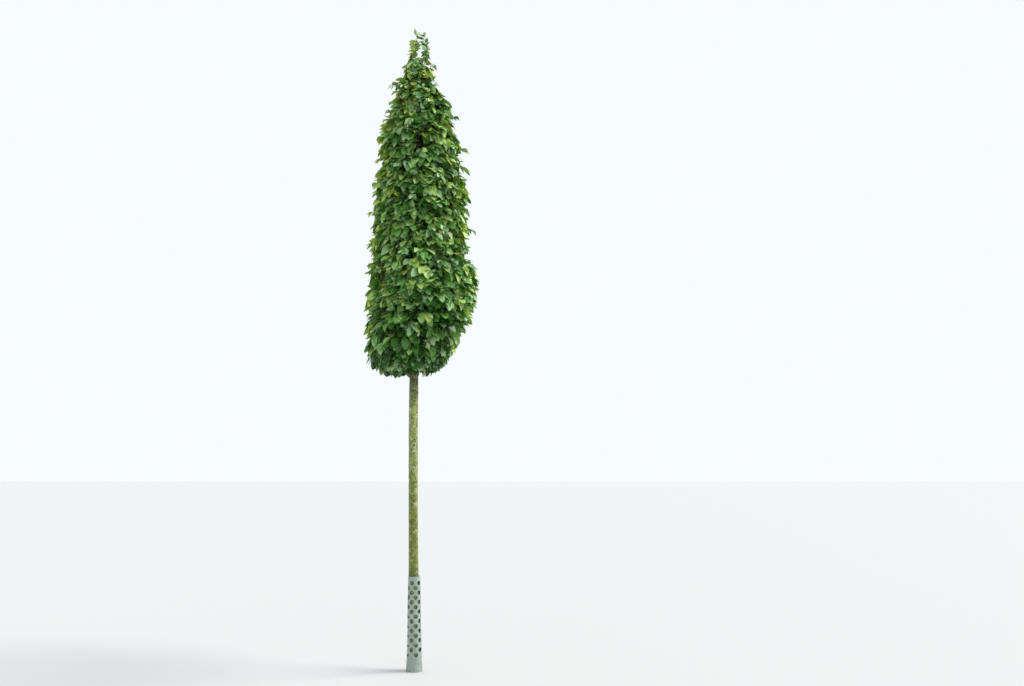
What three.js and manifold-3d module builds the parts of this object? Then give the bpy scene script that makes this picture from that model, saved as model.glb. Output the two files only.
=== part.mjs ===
// A columnar hornbeam as a nursery grows it: a clear stem under a narrow, clipped crown.
//
// Millimetres, +Z up. The origin is the middle of the flat cut under the trunk, at ground level.
// The trunk runs whole from the ground to its tip, with a perforated guard round its foot.
// Boughs rise from it in tiers. Each ends where it enters its own mass of foliage, and each mass
// keeps to its own sector of its tier. The tiers hang over each other like shingles.

import * as THREE from "three";
import { mergeVertices } from "three/addons/utils/BufferGeometryUtils.js";
import Module from "manifold-3d";

const wasm = await Module();
wasm.setup();

// Clearances

const SEAT_GAP = 0.3; // between two pieces that touch
const LEAF_GAP = 1.5; // from a twig or leaf to the edge of its mass's space
const CORE_GAP = 1; // from a core to the limbs that it is cut clear of

// Trunk

const TRUNK_TIP = 4170;
const TRUNK_SIDES = 10;
const TRUNK_STEP = 320;
// Height, then how far the trunk's middle leans to the right and to the back.
const TRUNK_LINE = [
  [0, 0, 0],
  [640, -9, 3],
  [1540, -20, 8],
  [1960, -21, 8],
  [2900, -15, -4],
  [3680, -6, -8],
  [4500, 6, 0],
];
// Height, then the radius of the wood.
const TRUNK_GIRTH = [
  [0, 46],
  [90, 42],
  [240, 38.5],
  [640, 34],
  [1000, 32.5],
  [1900, 31],
  [2500, 26],
  [3200, 17],
  [3800, 9],
  [TRUNK_TIP, 4.5],
];
const FLARE_LOBES = 5;
const FLARE_DEPTH = 0.07;
const FLARE_HEIGHT = 110;

// Guard round the foot of the trunk

const GUARD_HEIGHT = 636;
const GUARD_WALL = 2;
const GUARD_SIDES = 10;
const GUARD_RADIUS_FOOT = 55;
const GUARD_RADIUS_TOP = 41;
const GUARD_ROWS = 16;
const GUARD_HOLE = 27;
const GUARD_HOLE_SIDES = 6;
const GUARD_FIRST_ROW = 116;
const GUARD_LAST_ROW = 592;
const GUARD_SPLIT = 2; // between the two edges of its rolled sheet, at the back

// Crown

// Height, then the crown's half width and how far its middle lies to the right.
const CROWN_OUTLINE = [
  [1995, 60, -62],
  [2040, 166, -70],
  [2090, 240, -60],
  [2166, 294, -64],
  [2272, 345, -32],
  [2360, 390, 20],
  [2480, 406, 41],
  [2620, 398, 48],
  [2850, 384, 42],
  [2950, 346, 8],
  [3060, 357, 20],
  [3381, 334, 4],
  [3540, 303, 8],
  [3681, 311, 3],
  [3814, 256, 5],
  [3962, 226, 8],
  [4081, 180, -16],
  [4165, 132, -30],
  [4215, 107, -8],
  [4313, 82, 1],
  [4440, 66, 2],
  [4500, 36, 8],
];
const CROWN_SWAY = 18; // how far the crown's middle wanders to the front and back
const CROWN_SWAY_LENGTH = 420;
const CROWN_LOBES = 3;
const CROWN_LOBE_DEPTH = 0.03;
const CROWN_LOBE_TWIST = 0.0035;

// Tiers of foliage from the lowest: the height on the outline where each ends, how many masses it
// has, the direction of the first, how far under their tips its boughs leave the trunk, the boughs'
// radius at the foot, how many twigs a mass has, with how many leaves each, and the leaves' length.
// A core fills this share of the way from its mass's middle to the edge of its space.
const TIERS = [
  { top: 2450, count: 5, turn: 0.35, rise: 150, bough: 13, twigs: 4, leaves: 4, leaf: 175, core: 0.8 },
  { top: 2850, count: 4, turn: 1.0, rise: 330, bough: 12, twigs: 4, leaves: 4, leaf: 185, core: 0.92 },
  { top: 3230, count: 4, turn: 0.15, rise: 330, bough: 10.5, twigs: 4, leaves: 4, leaf: 185, core: 0.92 },
  { top: 3590, count: 4, turn: 0.95, rise: 300, bough: 8.5, twigs: 4, leaves: 4, leaf: 170, core: 0.92 },
  { top: 3880, count: 3, turn: 0.3, rise: 250, bough: 6.5, twigs: 4, leaves: 3, leaf: 150, core: 0.8 },
  { top: 4110, count: 2, turn: 1.3, rise: 150, bough: 4.5, twigs: 4, leaves: 3, leaf: 105, core: 0 },
];
// A tier's floor is flat inside this share of the crown, and then falls so far for each step out
// that the tier hangs over the one under it. It also rises and falls round the crown.
const FLAT_INSIDE = 0.6;
const SHINGLE = 0.9;
const LEVEL_PASSES = 5; // that settle the height of a point on a sloping floor
const WAVE = 24;
const WAVES = 7;
const BOUGH_OUT = 0.34; // a bough's tip, as a share of the way from the crown's middle to its outline
const BOUGH_UP = 0.2; // how far up its tier a bough's tip lies
const BOUGH_SAG = 0.12; // how far a bough's bend lies under the straight line, as a share of its rise
const BOUGH_TAPER = 0.6; // the tip's radius as a share of the foot's
const BOUGH_SIDES = 5;
const BOUGH_STEPS = 2;

// Inside a mass

const STEM_SIDES = 4;
const STEM_STEPS = 2;
const STEM_INSET = 90; // a stem ends this far inside the outline
const STEM_UP = 0.45; // and this far up its tier
const STEM_TIP_RADIUS = 3;
const CORE_INSET = 110; // a core's face lies this far inside the outline
const CORE_REACH = 160; // and no farther than this from its middle
const CORE_MIDDLE = 0.62; // which lies this share of the way along the stem
const CORE_AROUND_TRUNK = 30;
const CORE_STEP = 6; // its corners are drawn in by steps of this length
const CORE_SMALLEST = 0.7; // the least of its size that is tried
const CORE_LESS = 0.03;
const TWIG_RADIUS = 4;
const TWIG_TAPER = 0.8;
const TWIG_STEPS = 3;
const TWIG_TRIES = 6;
const TWIG_FIRST = 0.15; // the shares of the stem between which twigs leave it
const TWIG_LAST = 0.9;
const TWIG_LANES = 0.84; // how much of its mass's width the twigs spread over
const TWIG_INSET = 0.28; // a twig runs this share of a leaf's length inside the outline
const TWIG_ROOM = 0.76; // and starts up the outline with this share of room under it
const TWIG_BEND = 0.55; // from this share of the way up it
const TWIG_BEHIND = 0.4; // it bends in behind the leaves of the tier over it, by this share of a leaf
const TWIG_PAST = 20;
const LEAF_FIRST = 0.33; // the shares of a twig between which leaves grow
const LEAF_LAST = 0.98;
const LEAF_CLEAR = 0.1; // a leaf stays clear of all else past this share of its length
const LEAF_SPREAD = 0.12; // how far a leaf's length is from its tier's, either way
const LEAF_WIDTH = 0.68; // as a share of its length
const LEAF_WIDEST = 0.42;
const LEAF_THICK = 3;
const LEAF_ROLL = 0.5; // how far a leaf's face turns about its length, either way
const LEAF_OUT = 0.27; // how far a leaf leans out from the outline's own slope, at the first try
const LEAF_OUT_LESS = 0.045; // and less with each try after it
const LEAF_OUT_SPREAD = 0.05;
const LEAF_DOWN = 0.85; // how much of the way along the outline it takes, and how that varies
const LEAF_DOWN_SPREAD = 0.15;
const LEAF_ASIDE = 0.5;
const LEAF_ASIDE_SPREAD = 0.3;
const LEAF_FACE_UP = 0.5;
const LEAF_TRIES = 10;
const LEAF_LARGE_TRIES = 5; // after which a smaller leaf is tried
const LEAF_SMALLER = 0.8;
const GOLDEN_SHARE = 0.618;
const STEEPEST = 1.1; // the outline's slope that leaves still follow
const SHORTEST_EDGE = 0.02; // that a join may leave

// The tuft at the top, whose stem carries on from the trunk's tip

const TOP_STEM_END = 4440;
const TOP_TWIGS = 6;
const TOP_LEAVES = 3;
const TOP_TWIG_RADIUS = 2.6;
const TOP_LEAF_LENGTH = 80;
const CREST_LEAF_LENGTH = 64;

// Number helpers

// A repeatable number from 0 to 1 for the thing that the arguments count out.
function chance(...counts) {
  const weights = [127.1, 311.7, 74.7, 219.3];
  const sum = counts.reduce((total, count, place) => total + (count + 1) * weights[place], 0);
  const wave = Math.sin(sum) * 43758.5453;
  return wave - Math.floor(wave);
}

// A smooth value from rows of height and value, by a cubic through the rows beside it.
function smooth(rows, height, column = 1) {
  const last = rows.length - 1;
  const z = Math.min(Math.max(height, rows[0][0]), rows[last][0]);
  let i = 0;
  while (i < last - 1 && z > rows[i + 1][0]) i++;
  const slope = (a, b) => (rows[b][column] - rows[a][column]) / (rows[b][0] - rows[a][0]);
  const span = rows[i + 1][0] - rows[i][0];
  const t = (z - rows[i][0]) / span;
  const before = slope(Math.max(i - 1, 0), i + 1) * span;
  const after = slope(i, Math.min(i + 2, last)) * span;
  return (
    (2 * t ** 3 - 3 * t ** 2 + 1) * rows[i][column] +
    (t ** 3 - 2 * t ** 2 + t) * before +
    (3 * t ** 2 - 2 * t ** 3) * rows[i + 1][column] +
    (t ** 3 - t ** 2) * after
  );
}

const vector = (x, y, z) => new THREE.Vector3(x, y, z);
const UP = vector(0, 0, 1);
const mix = THREE.MathUtils.lerp;

// Solids

// A closed geometry as a solid that can be joined and cut.
function solidOf(geometry) {
  geometry.deleteAttribute("normal");
  geometry.deleteAttribute("uv");
  const merged = mergeVertices(geometry, 1e-3);
  const corners = [];
  for (let i = 0; i < merged.index.count; i += 3) {
    const [a, b, c] = [0, 1, 2].map((k) => merged.index.getX(i + k));
    if (a !== b && b !== c && c !== a) corners.push(a, b, c);
  }
  return new wasm.Manifold(
    new wasm.Mesh({
      numProp: 3,
      vertProperties: merged.attributes.position.array,
      triVerts: new Uint32Array(corners),
    }),
  );
}

// The largest body of a solid, with loose scraps dropped and sealed hollows filled.
function largest(solid) {
  return solid.decompose().reduce((best, body) => (body.volume() > best.volume() ? body : best));
}

// Whether a solid has no edge so short that rounding could fold it.
function isClean(solid) {
  const { vertProperties: v, triVerts: t } = solid.getMesh();
  for (let i = 0; i < t.length; i++) {
    const [a, b] = [t[i] * 3, t[i % 3 === 2 ? i - 2 : i + 1] * 3];
    if (Math.hypot(v[a] - v[b], v[a + 1] - v[b + 1], v[a + 2] - v[b + 2]) < SHORTEST_EDGE)
      return false;
  }
  return true;
}

// A solid as a named mesh.
function meshOf(name, solid, material) {
  const { vertProperties, triVerts } = solid.getMesh();
  const geometry = new THREE.BufferGeometry();
  geometry.setAttribute("position", new THREE.BufferAttribute(Float32Array.from(vertProperties), 3));
  geometry.setIndex(new THREE.BufferAttribute(Uint32Array.from(triVerts), 1));
  const flat = geometry.toNonIndexed();
  flat.computeVertexNormals();
  const mesh = new THREE.Mesh(flat, material);
  mesh.name = name;
  return mesh;
}

// Moves each corner of a geometry by a function of its place.
function reshape(geometry, move) {
  const corners = geometry.attributes.position;
  for (let i = 0; i < corners.count; i++) {
    const to = move(vector(corners.getX(i), corners.getY(i), corners.getZ(i)));
    corners.setXYZ(i, to.x, to.y, to.z);
  }
  return geometry;
}

// A limb: a cylinder laid along a curve, tapering from one radius to another. Across is a direction
// that the curve never takes, which its sides are set by.
function limb(curve, across, radiusStart, radiusEnd, sides, steps) {
  const tube = new THREE.CylinderGeometry(1, 1, 1, sides, steps);
  return solidOf(
    reshape(tube, (corner) => {
      const share = corner.y + 0.5;
      const ahead = curve.getTangent(share);
      const side = across.clone().addScaledVector(ahead, -across.dot(ahead)).normalize();
      const other = side.clone().cross(ahead);
      const radius = mix(radiusStart, radiusEnd, share);
      return curve
        .getPoint(share)
        .addScaledVector(side, corner.x * radius)
        .addScaledVector(other, corner.z * radius);
    }),
  );
}

// A leaf: a flat pointed blade of eight faces, thickest along its midrib.
function leafCorner(leaf, corner) {
  const share = corner.y === 0 ? LEAF_WIDEST : (corner.y + 1) / 2;
  return leaf.root
    .clone()
    .addScaledVector(leaf.along, share * leaf.length)
    .addScaledVector(leaf.across, (corner.x * leaf.length * LEAF_WIDTH) / 2)
    .addScaledVector(leaf.facing, (corner.z * LEAF_THICK) / 2);
}

function leafSolid(leaf) {
  return solidOf(reshape(new THREE.OctahedronGeometry(1), (corner) => leafCorner(leaf, corner)));
}

// The corners of a leaf's outline past its root, and the middles of its edges.
function leafOutline(leaf) {
  const [root, right, tip, left] = [
    leafCorner(leaf, vector(0, -1, 0)),
    leafCorner(leaf, vector(1, 0, 0)),
    leafCorner(leaf, vector(0, 1, 0)),
    leafCorner(leaf, vector(-1, 0, 0)),
  ];
  const middle = (from, to) => from.clone().lerp(to, 0.5);
  return [right, tip, left, middle(root, right), middle(right, tip), middle(tip, left), middle(left, root)];
}

// Trunk

const trunkMiddle = (z) => vector(smooth(TRUNK_LINE, z, 1), smooth(TRUNK_LINE, z, 2), z);
const trunkRadius = (z) => smooth(TRUNK_GIRTH, z);
const flareAt = (z) => FLARE_DEPTH * Math.exp(-z / FLARE_HEIGHT);

function trunkSolid(extra) {
  const profile = [new THREE.Vector2(0, 0), new THREE.Vector2(trunkRadius(0) + extra, 0)];
  profile.push(new THREE.Vector2(trunkRadius(FLARE_HEIGHT / 2) + extra, FLARE_HEIGHT / 2));
  for (let z = FLARE_HEIGHT; z < TRUNK_TIP - TRUNK_STEP / 2; z += TRUNK_STEP)
    profile.push(new THREE.Vector2(trunkRadius(z) + extra, z));
  profile.push(new THREE.Vector2(trunkRadius(TRUNK_TIP) + extra, TRUNK_TIP));
  profile.push(new THREE.Vector2(0, TRUNK_TIP));
  const turned = new THREE.LatheGeometry(profile, TRUNK_SIDES);
  return solidOf(
    reshape(turned, ({ x, y: z, z: y }) => {
      const lobes = Math.cos(FLARE_LOBES * Math.atan2(y, x));
      const flare = 1 + flareAt(z) * lobes;
      return trunkMiddle(z).add(vector(-x * flare, y * flare, 0));
    }),
  );
}

// Guard

const guardRadius = (z) => mix(GUARD_RADIUS_FOOT, GUARD_RADIUS_TOP, z / GUARD_HEIGHT);

// The guard's middle at its foot or top: it hangs off the left side of the wood.
function guardEnd(z) {
  const room = (guardRadius(z) - GUARD_WALL) * Math.cos(Math.PI / GUARD_SIDES);
  const slack = room - trunkRadius(z) * (1 + flareAt(z)) - SEAT_GAP;
  return trunkMiddle(z).add(vector(Math.max(slack, 0), 0, 0));
}

const guardMiddle = (z) => guardEnd(0).lerp(guardEnd(GUARD_HEIGHT), z / GUARD_HEIGHT);

// A point of the guard's wall: how many facets round from the sheet's first edge, and how high.
function guardPoint(facet, z, depth) {
  const radius = guardRadius(z) - depth;
  const gap = GUARD_SPLIT / radius;
  const corner = (k) => {
    const turn = Math.PI / 2 + gap / 2 + ((2 * Math.PI - gap) * k) / GUARD_SIDES;
    return vector(Math.cos(turn), Math.sin(turn), 0).multiplyScalar(radius);
  };
  const first = Math.min(Math.floor(facet), GUARD_SIDES - 1);
  return corner(first).lerp(corner(first + 1), facet - first).add(guardMiddle(z));
}

// The holes of one facet, as rings of points on it. Each row of holes lies half a step round from
// the row under it, so every second row has a hole in this facet.
function guardHoles(facet) {
  const holes = [];
  for (let row = (facet + 1) % 2; row < GUARD_ROWS; row += 2) {
    const z = mix(GUARD_FIRST_ROW, GUARD_LAST_ROW, row / (GUARD_ROWS - 1));
    const width = (2 * Math.PI * guardRadius(z)) / GUARD_SIDES;
    const ring = [];
    for (let corner = 0; corner < GUARD_HOLE_SIDES; corner++) {
      const turn = (corner * 2 * Math.PI) / GUARD_HOLE_SIDES;
      const across = (Math.sin(turn) * GUARD_HOLE) / 2 / width;
      ring.push(new THREE.Vector2(facet + 0.5 + across, z + (Math.cos(turn) * GUARD_HOLE) / 2));
    }
    holes.push(ring);
  }
  return holes;
}

// The guard is a perforated sheet rolled round the foot of the trunk, so its two edges nearly meet.
function guardSolid() {
  const corners = [];
  const face = (a, b, c) => corners.push(...a, ...b, ...c);
  const wall = (from, to) => {
    const place = (point, depth) => guardPoint(point.x, point.y, depth).toArray();
    const [a, b] = [place(from, 0), place(to, 0)];
    const [c, d] = [place(to, GUARD_WALL), place(from, GUARD_WALL)];
    face(a, b, c);
    face(a, c, d);
  };
  for (let facet = 0; facet < GUARD_SIDES; facet++) {
    const [foot, top] = [0, GUARD_HEIGHT];
    const panel = [[0, foot], [1, foot], [1, top], [0, top]];
    const outline = panel.map(([x, z]) => new THREE.Vector2(facet + x, z));
    const holes = guardHoles(facet);
    const points = [...outline, ...holes.flat()];
    for (const [a, b, c] of THREE.ShapeUtils.triangulateShape(outline, holes)) {
      const place = (corner, depth) => guardPoint(points[corner].x, points[corner].y, depth);
      face(...[a, b, c].map((corner) => place(corner, 0).toArray()));
      face(...[a, c, b].map((corner) => place(corner, GUARD_WALL).toArray()));
    }
    wall(outline[1], outline[0]);
    wall(outline[3], outline[2]);
    if (facet === 0) wall(outline[0], outline[3]);
    if (facet === GUARD_SIDES - 1) wall(outline[2], outline[1]);
    for (const ring of holes)
      ring.forEach((point, corner) => wall(ring[(corner + 1) % ring.length], point));
  }
  const geometry = new THREE.BufferGeometry();
  geometry.setAttribute("position", new THREE.Float32BufferAttribute(corners, 3));
  return solidOf(geometry);
}

// The guard moved to the right until its left wall seats on the wood.
function seatedGuard() {
  const guard = guardSolid();
  return guard.translate([guard.minGap(trunk, GUARD_RADIUS_FOOT) - SEAT_GAP, 0, 0]);
}

// Crown

const crownMiddle = (z) =>
  vector(smooth(CROWN_OUTLINE, z, 2), CROWN_SWAY * Math.sin(z / CROWN_SWAY_LENGTH), z);

function crownRadius(z, turn) {
  const lobes = Math.cos(CROWN_LOBES * turn + z * CROWN_LOBE_TWIST);
  return smooth(CROWN_OUTLINE, z) * (1 + CROWN_LOBE_DEPTH * lobes);
}

// The point at a height, a direction round the crown and a distance inside its outline.
function crownPoint(z, turn, inset) {
  const reach = Math.max(crownRadius(z, turn) - inset, 0);
  return crownMiddle(z).add(vector(Math.cos(turn) * reach, Math.sin(turn) * reach, 0));
}

// How far a tier's floor lies over or under its mean in a direction.
const waveAt = (turn) => WAVE * Math.cos(WAVES * turn);

// A point's place in the crown: its distance and direction from the crown's middle, and its level,
// which is equal all over the sloping, waved floor of a tier.
function placeOf(point) {
  const from = point.clone().sub(crownMiddle(point.z));
  const radius = Math.hypot(from.x, from.y);
  const turn = Math.atan2(from.y, from.x);
  const sloping = Math.max(radius, FLAT_INSIDE * smooth(CROWN_OUTLINE, point.z));
  return { radius, turn, level: point.z + SHINGLE * sloping - waveAt(turn) };
}

const outlineLevel = (z) => z + SHINGLE * smooth(CROWN_OUTLINE, z);

// The point on a level, in a direction, at a share of the way to the outline.
function levelPoint(level, turn, share) {
  let z = level;
  for (let pass = 0; pass < LEVEL_PASSES; pass++)
    z = level - SHINGLE * Math.max(share, FLAT_INSIDE) * smooth(CROWN_OUTLINE, z);
  return crownPoint(z, turn, (1 - share) * crownRadius(z, turn));
}

// Masses: each has a middle, a bough that leads to it and a stem that carries on from the bough.

const CROWN_FOOT = CROWN_OUTLINE[0][0];
const CROWN_TOP = CROWN_OUTLINE.at(-1)[0];
const aroundCrown = (turn) => vector(-Math.sin(turn), Math.cos(turn), 0);

function massOf(tierNumber, index, number) {
  const tier = TIERS[tierNumber];
  const bottom = tierNumber ? TIERS[tierNumber - 1].top : CROWN_FOOT;
  const turn = 2 * Math.PI * (index / tier.count) + tier.turn;
  const levelUp = (share) => outlineLevel(mix(bottom, tier.top, share));
  const tip = levelPoint(levelUp(BOUGH_UP), turn, BOUGH_OUT);
  const foot = trunkMiddle(tip.z - tier.rise);
  const bend = foot.clone().lerp(tip, 0.5).addScaledVector(UP, -tier.rise * BOUGH_SAG);
  const bough = new THREE.QuadraticBezierCurve3(foot, bend, tip);
  const ahead = bough.getTangent(1);
  const start = tip.clone().addScaledVector(ahead, SEAT_GAP);
  const end = crownPoint(mix(bottom, tier.top, STEM_UP), turn, STEM_INSET);
  const elbow = start.clone().addScaledVector(ahead, start.distanceTo(end) / 3);
  return {
    ...tier,
    number,
    turn,
    bottom,
    floor: tierNumber ? outlineLevel(bottom) : -Infinity,
    ceiling: outlineLevel(tier.top),
    halfTurn: Math.PI / tier.count,
    across: aroundCrown(turn),
    curve: bough,
    stem: new THREE.QuadraticBezierCurve3(start, elbow, end),
    stemRadius: tier.bough * BOUGH_TAPER,
    twigRadius: TWIG_RADIUS,
  };
}

function topMass(number) {
  const bottom = TIERS.at(-1).top;
  const start = trunkMiddle(TRUNK_TIP).addScaledVector(UP, SEAT_GAP);
  const end = crownMiddle(TOP_STEM_END);
  const elbow = start.clone().addScaledVector(UP, start.distanceTo(end) / 3);
  return {
    number,
    turn: 0,
    bottom,
    top: CROWN_TOP,
    floor: outlineLevel(bottom),
    ceiling: Infinity,
    halfTurn: Math.PI,
    across: aroundCrown(0),
    stem: new THREE.QuadraticBezierCurve3(start, elbow, end),
    stemRadius: trunkRadius(TRUNK_TIP),
    twigs: TOP_TWIGS,
    leaves: TOP_LEAVES,
    twigRadius: TOP_TWIG_RADIUS,
    leaf: TOP_LEAF_LENGTH,
  };
}

function layOutMasses() {
  const masses = [];
  TIERS.forEach((tier, tierNumber) => {
    for (let index = 0; index < tier.count; index++)
      masses.push(massOf(tierNumber, index, masses.length + 1));
  });
  masses.push(topMass(masses.length + 1));
  return masses;
}

const masses = layOutMasses();

// Whether a point is in a mass's own space: between its tier's floor and ceiling, between the
// upright planes that part it from its neighbours, and so far inside the crown's outline.
function inSpace(mass, point, inset = 0) {
  if (point.z < CROWN_FOOT || point.z > CROWN_TOP) return false;
  const { radius, turn, level } = placeOf(point);
  if (radius > crownRadius(point.z, turn) - inset) return false;
  if (level < mass.floor + LEAF_GAP || level > mass.ceiling - LEAF_GAP) return false;
  if (mass.halfTurn === Math.PI) return true;
  const aside = Math.abs(Math.atan2(Math.sin(turn - mass.turn), Math.cos(turn - mass.turn)));
  const room = mass.halfTurn - aside;
  return room > 0 && radius * Math.sin(Math.min(room, Math.PI / 2)) >= LEAF_GAP;
}

// Limbs

const trunk = trunkSolid(0);
const trunkSpace = trunkSolid(SEAT_GAP);

function boughSolid(mass, extra) {
  const foot = mass.bough + extra;
  const tip = mass.stemRadius + extra;
  return limb(mass.curve, mass.across, foot, tip, BOUGH_SIDES, BOUGH_STEPS);
}

const boughs = masses.filter((mass) => mass.curve);
const limbSpace = boughs.reduce((all, mass) => all.add(boughSolid(mass, SEAT_GAP)), trunkSpace);
const coreSpace = boughs.reduce(
  (all, mass) => all.add(boughSolid(mass, CORE_GAP)),
  trunkSolid(CORE_GAP),
);

const touchesLimb = (solid) => solid.intersect(limbSpace).volume() > 0;

// Foliage

// The core of a mass: a ball whose corners are drawn in to lie inside the mass's space.
function coreSolid(mass, shrink) {
  const ball = new THREE.DodecahedronGeometry(1);
  const middle = mass.stem.getPoint(CORE_MIDDLE);
  const free = (point) => {
    const trunkHere = trunkMiddle(point.z);
    const off = Math.hypot(point.x - trunkHere.x, point.y - trunkHere.y);
    return inSpace(mass, point, CORE_INSET) && off > trunkRadius(point.z) + CORE_AROUND_TRUNK;
  };
  const drawn = reshape(ball, (direction) => {
    const at = (reach) => middle.clone().addScaledVector(direction, reach);
    let reach = CORE_STEP;
    while (reach < CORE_REACH && free(at(reach + CORE_STEP))) reach += CORE_STEP;
    return at(reach * mass.core * shrink);
  });
  return solidOf(drawn).subtract(coreSpace);
}

// The twig of that number. It leaves the stem for its own lane up the mass's share of the outline.
function twigOf(mass, index, attempt) {
  const lane = (2 * index + 1) / mass.twigs - 1;
  const turn = mass.turn + lane * mass.halfTurn * TWIG_LANES;
  const share = ((index + attempt / TWIG_TRIES) * GOLDEN_SHARE) % 1;
  const points = [mass.stem.getPoint(mix(TWIG_FIRST, TWIG_LAST, share))];
  const climb = (outlineZ, behind) => {
    const z = Math.min(outlineZ + waveAt(turn) + SHINGLE * behind, TOP_STEM_END);
    points.push(crownPoint(z, turn, mass.leaf * TWIG_INSET + behind));
  };
  const low = mass.bottom + mass.leaf * TWIG_ROOM;
  climb(low, 0);
  climb(mix(low, mass.top, TWIG_BEND), 0);
  climb(mass.top + TWIG_PAST, mass.curve ? mass.leaf * TWIG_BEHIND : 0);
  return { curve: new THREE.CatmullRomCurve3(points), points };
}

// The point at a share of a twig's length, on the straight stretches between its corners.
function onTwig(twig, share) {
  const step = Math.min(Math.floor(share * TWIG_STEPS), TWIG_STEPS - 1);
  return twig.points[step].clone().lerp(twig.points[step + 1], share * TWIG_STEPS - step);
}

// The way down the crown's outline from a height, one unit down and so far in or out.
function downOutline(z, turn, step) {
  const way = crownPoint(z - step, turn, 0).sub(crownPoint(z, turn, 0)).divideScalar(step).setZ(0);
  return way.clampLength(0, STEEPEST).setZ(-1);
}

// The leaf of that number on a twig. It hangs down along the crown's outline, to the left and right
// in turn, with its face turned out to the light.
function leafOf(mass, twig, twigIndex, index, attempt) {
  const draw = (kind) => chance(mass.number, twigIndex, index + 10 * attempt, kind) * 2 - 1;
  const share = mix(LEAF_FIRST, LEAF_LAST, index / (mass.leaves - 1));
  const root = onTwig(twig, share);
  const out = root.clone().sub(crownMiddle(root.z)).setZ(0).normalize();
  const side = UP.clone().cross(out);
  const hand = (index + twigIndex + Math.floor(attempt / 2)) % 2 ? 1 : -1;
  const along = downOutline(root.z, Math.atan2(out.y, out.x), mass.leaf * TWIG_ROOM)
    .multiplyScalar(LEAF_DOWN + LEAF_DOWN_SPREAD * draw(1))
    .addScaledVector(out, LEAF_OUT - LEAF_OUT_LESS * attempt + LEAF_OUT_SPREAD * draw(2))
    .addScaledVector(side, hand * (LEAF_ASIDE + LEAF_ASIDE_SPREAD * draw(3)))
    .normalize();
  const level = along.clone().cross(out.clone().addScaledVector(UP, LEAF_FACE_UP)).normalize();
  const across = level.applyAxisAngle(along, LEAF_ROLL * draw(4) * (1 - attempt / LEAF_TRIES));
  const facing = across.clone().cross(along);
  const whole = mass.leaf * (1 + LEAF_SPREAD * draw(0));
  const length = whole * (attempt < LEAF_LARGE_TRIES ? 1 : LEAF_SMALLER);
  return { root, along, across, facing, length };
}

// Whether a leaf's blade, past its root, crosses a solid.
function bladeCrosses(leaf, solid) {
  const past = leaf.length * LEAF_CLEAR;
  const root = leaf.root.clone().addScaledVector(leaf.along, past);
  const blade = leafSolid({ ...leaf, root, length: leaf.length - past });
  return blade.intersect(solid).volume() > 0;
}

// Adds a twig's leaves to a mass, each at the first try that keeps clear of all else.
function addLeaves(mass, grown, twig, twigIndex) {
  for (let index = 0; index < mass.leaves; index++)
    for (let attempt = 0; attempt < LEAF_TRIES; attempt++) {
      const leaf = leafOf(mass, twig, twigIndex, index, attempt);
      if (!leafOutline(leaf).every((corner) => inSpace(mass, corner))) continue;
      const solid = leafSolid(leaf);
      if (touchesLimb(solid) || bladeCrosses(leaf, grown)) continue;
      const joined = grown.add(solid);
      if (!isClean(joined)) continue;
      grown = joined;
      break;
    }
  return grown;
}

// A mass's stem with its core, at the first size of core that joins cleanly.
function stemAndCore(mass) {
  const stem = limb(
    mass.stem,
    mass.across,
    mass.stemRadius,
    STEM_TIP_RADIUS,
    STEM_SIDES,
    STEM_STEPS,
  );
  if (!mass.core) return stem;
  let joined = stem;
  for (let shrink = 1; shrink > CORE_SMALLEST; shrink -= CORE_LESS) {
    joined = stem.add(coreSolid(mass, shrink));
    if (isClean(joined)) break;
  }
  return joined;
}

// The leaf that stands up from the end of the topmost stem.
function crestLeaf() {
  const root = crownMiddle(TOP_STEM_END).addScaledVector(UP, -STEM_TIP_RADIUS);
  const along = UP;
  const across = vector(1, 0, 0);
  const facing = across.clone().cross(along);
  return leafSolid({ root, along, across, facing, length: CREST_LEAF_LENGTH });
}

function massSolid(mass) {
  let grown = mass.curve ? stemAndCore(mass) : stemAndCore(mass).add(crestLeaf());
  const tip = mass.twigRadius * TWIG_TAPER;
  for (let index = 0; index < mass.twigs; index++)
    for (let attempt = 0; attempt < TWIG_TRIES; attempt++) {
      const twig = twigOf(mass, index, attempt);
      const solid = limb(twig.curve, mass.across, mass.twigRadius, tip, 3, TWIG_STEPS);
      const joined = grown.add(solid);
      if (touchesLimb(solid) || !isClean(joined)) continue;
      grown = addLeaves(mass, joined, twig, index);
      break;
    }
  return largest(grown);
}

// Materials

const bark = new THREE.MeshStandardMaterial({ color: 0x77745a, roughness: 0.9, metalness: 0 });
const leafage = new THREE.MeshStandardMaterial({ color: 0x4f7f3c, roughness: 0.6, metalness: 0 });
const plastic = new THREE.MeshStandardMaterial({ color: 0x96b4b2, roughness: 0.5, metalness: 0 });

// The tree

const tree = new THREE.Group();
tree.add(meshOf("trunk", trunk, bark));
tree.add(meshOf("trunk_guard", seatedGuard(), plastic));
for (const mass of masses) {
  const number = String(mass.number).padStart(2, "0");
  if (mass.curve) {
    const solid = largest(boughSolid(mass, 0).subtract(trunkSpace));
    tree.add(meshOf("bough_" + number, solid, bark));
  }
  tree.add(meshOf(mass.curve ? "foliage_" + number : "foliage_top", massSolid(mass), leafage));
}

export default tree;
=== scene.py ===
# %% [markdown]
# A columnar hornbeam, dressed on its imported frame
#
# A nursery grows this tree as a standard: a bare stem, a narrow crown clipped to a column, and a
# thin open spire where the topmost shoots have outgrown the shears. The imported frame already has
# its solids, in metres, with the origin in the middle of the flat cut under the trunk. This lesson
# replaces the plain solids by bark with relief, a rolled guard with round holes and thousands of
# leaves.

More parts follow.
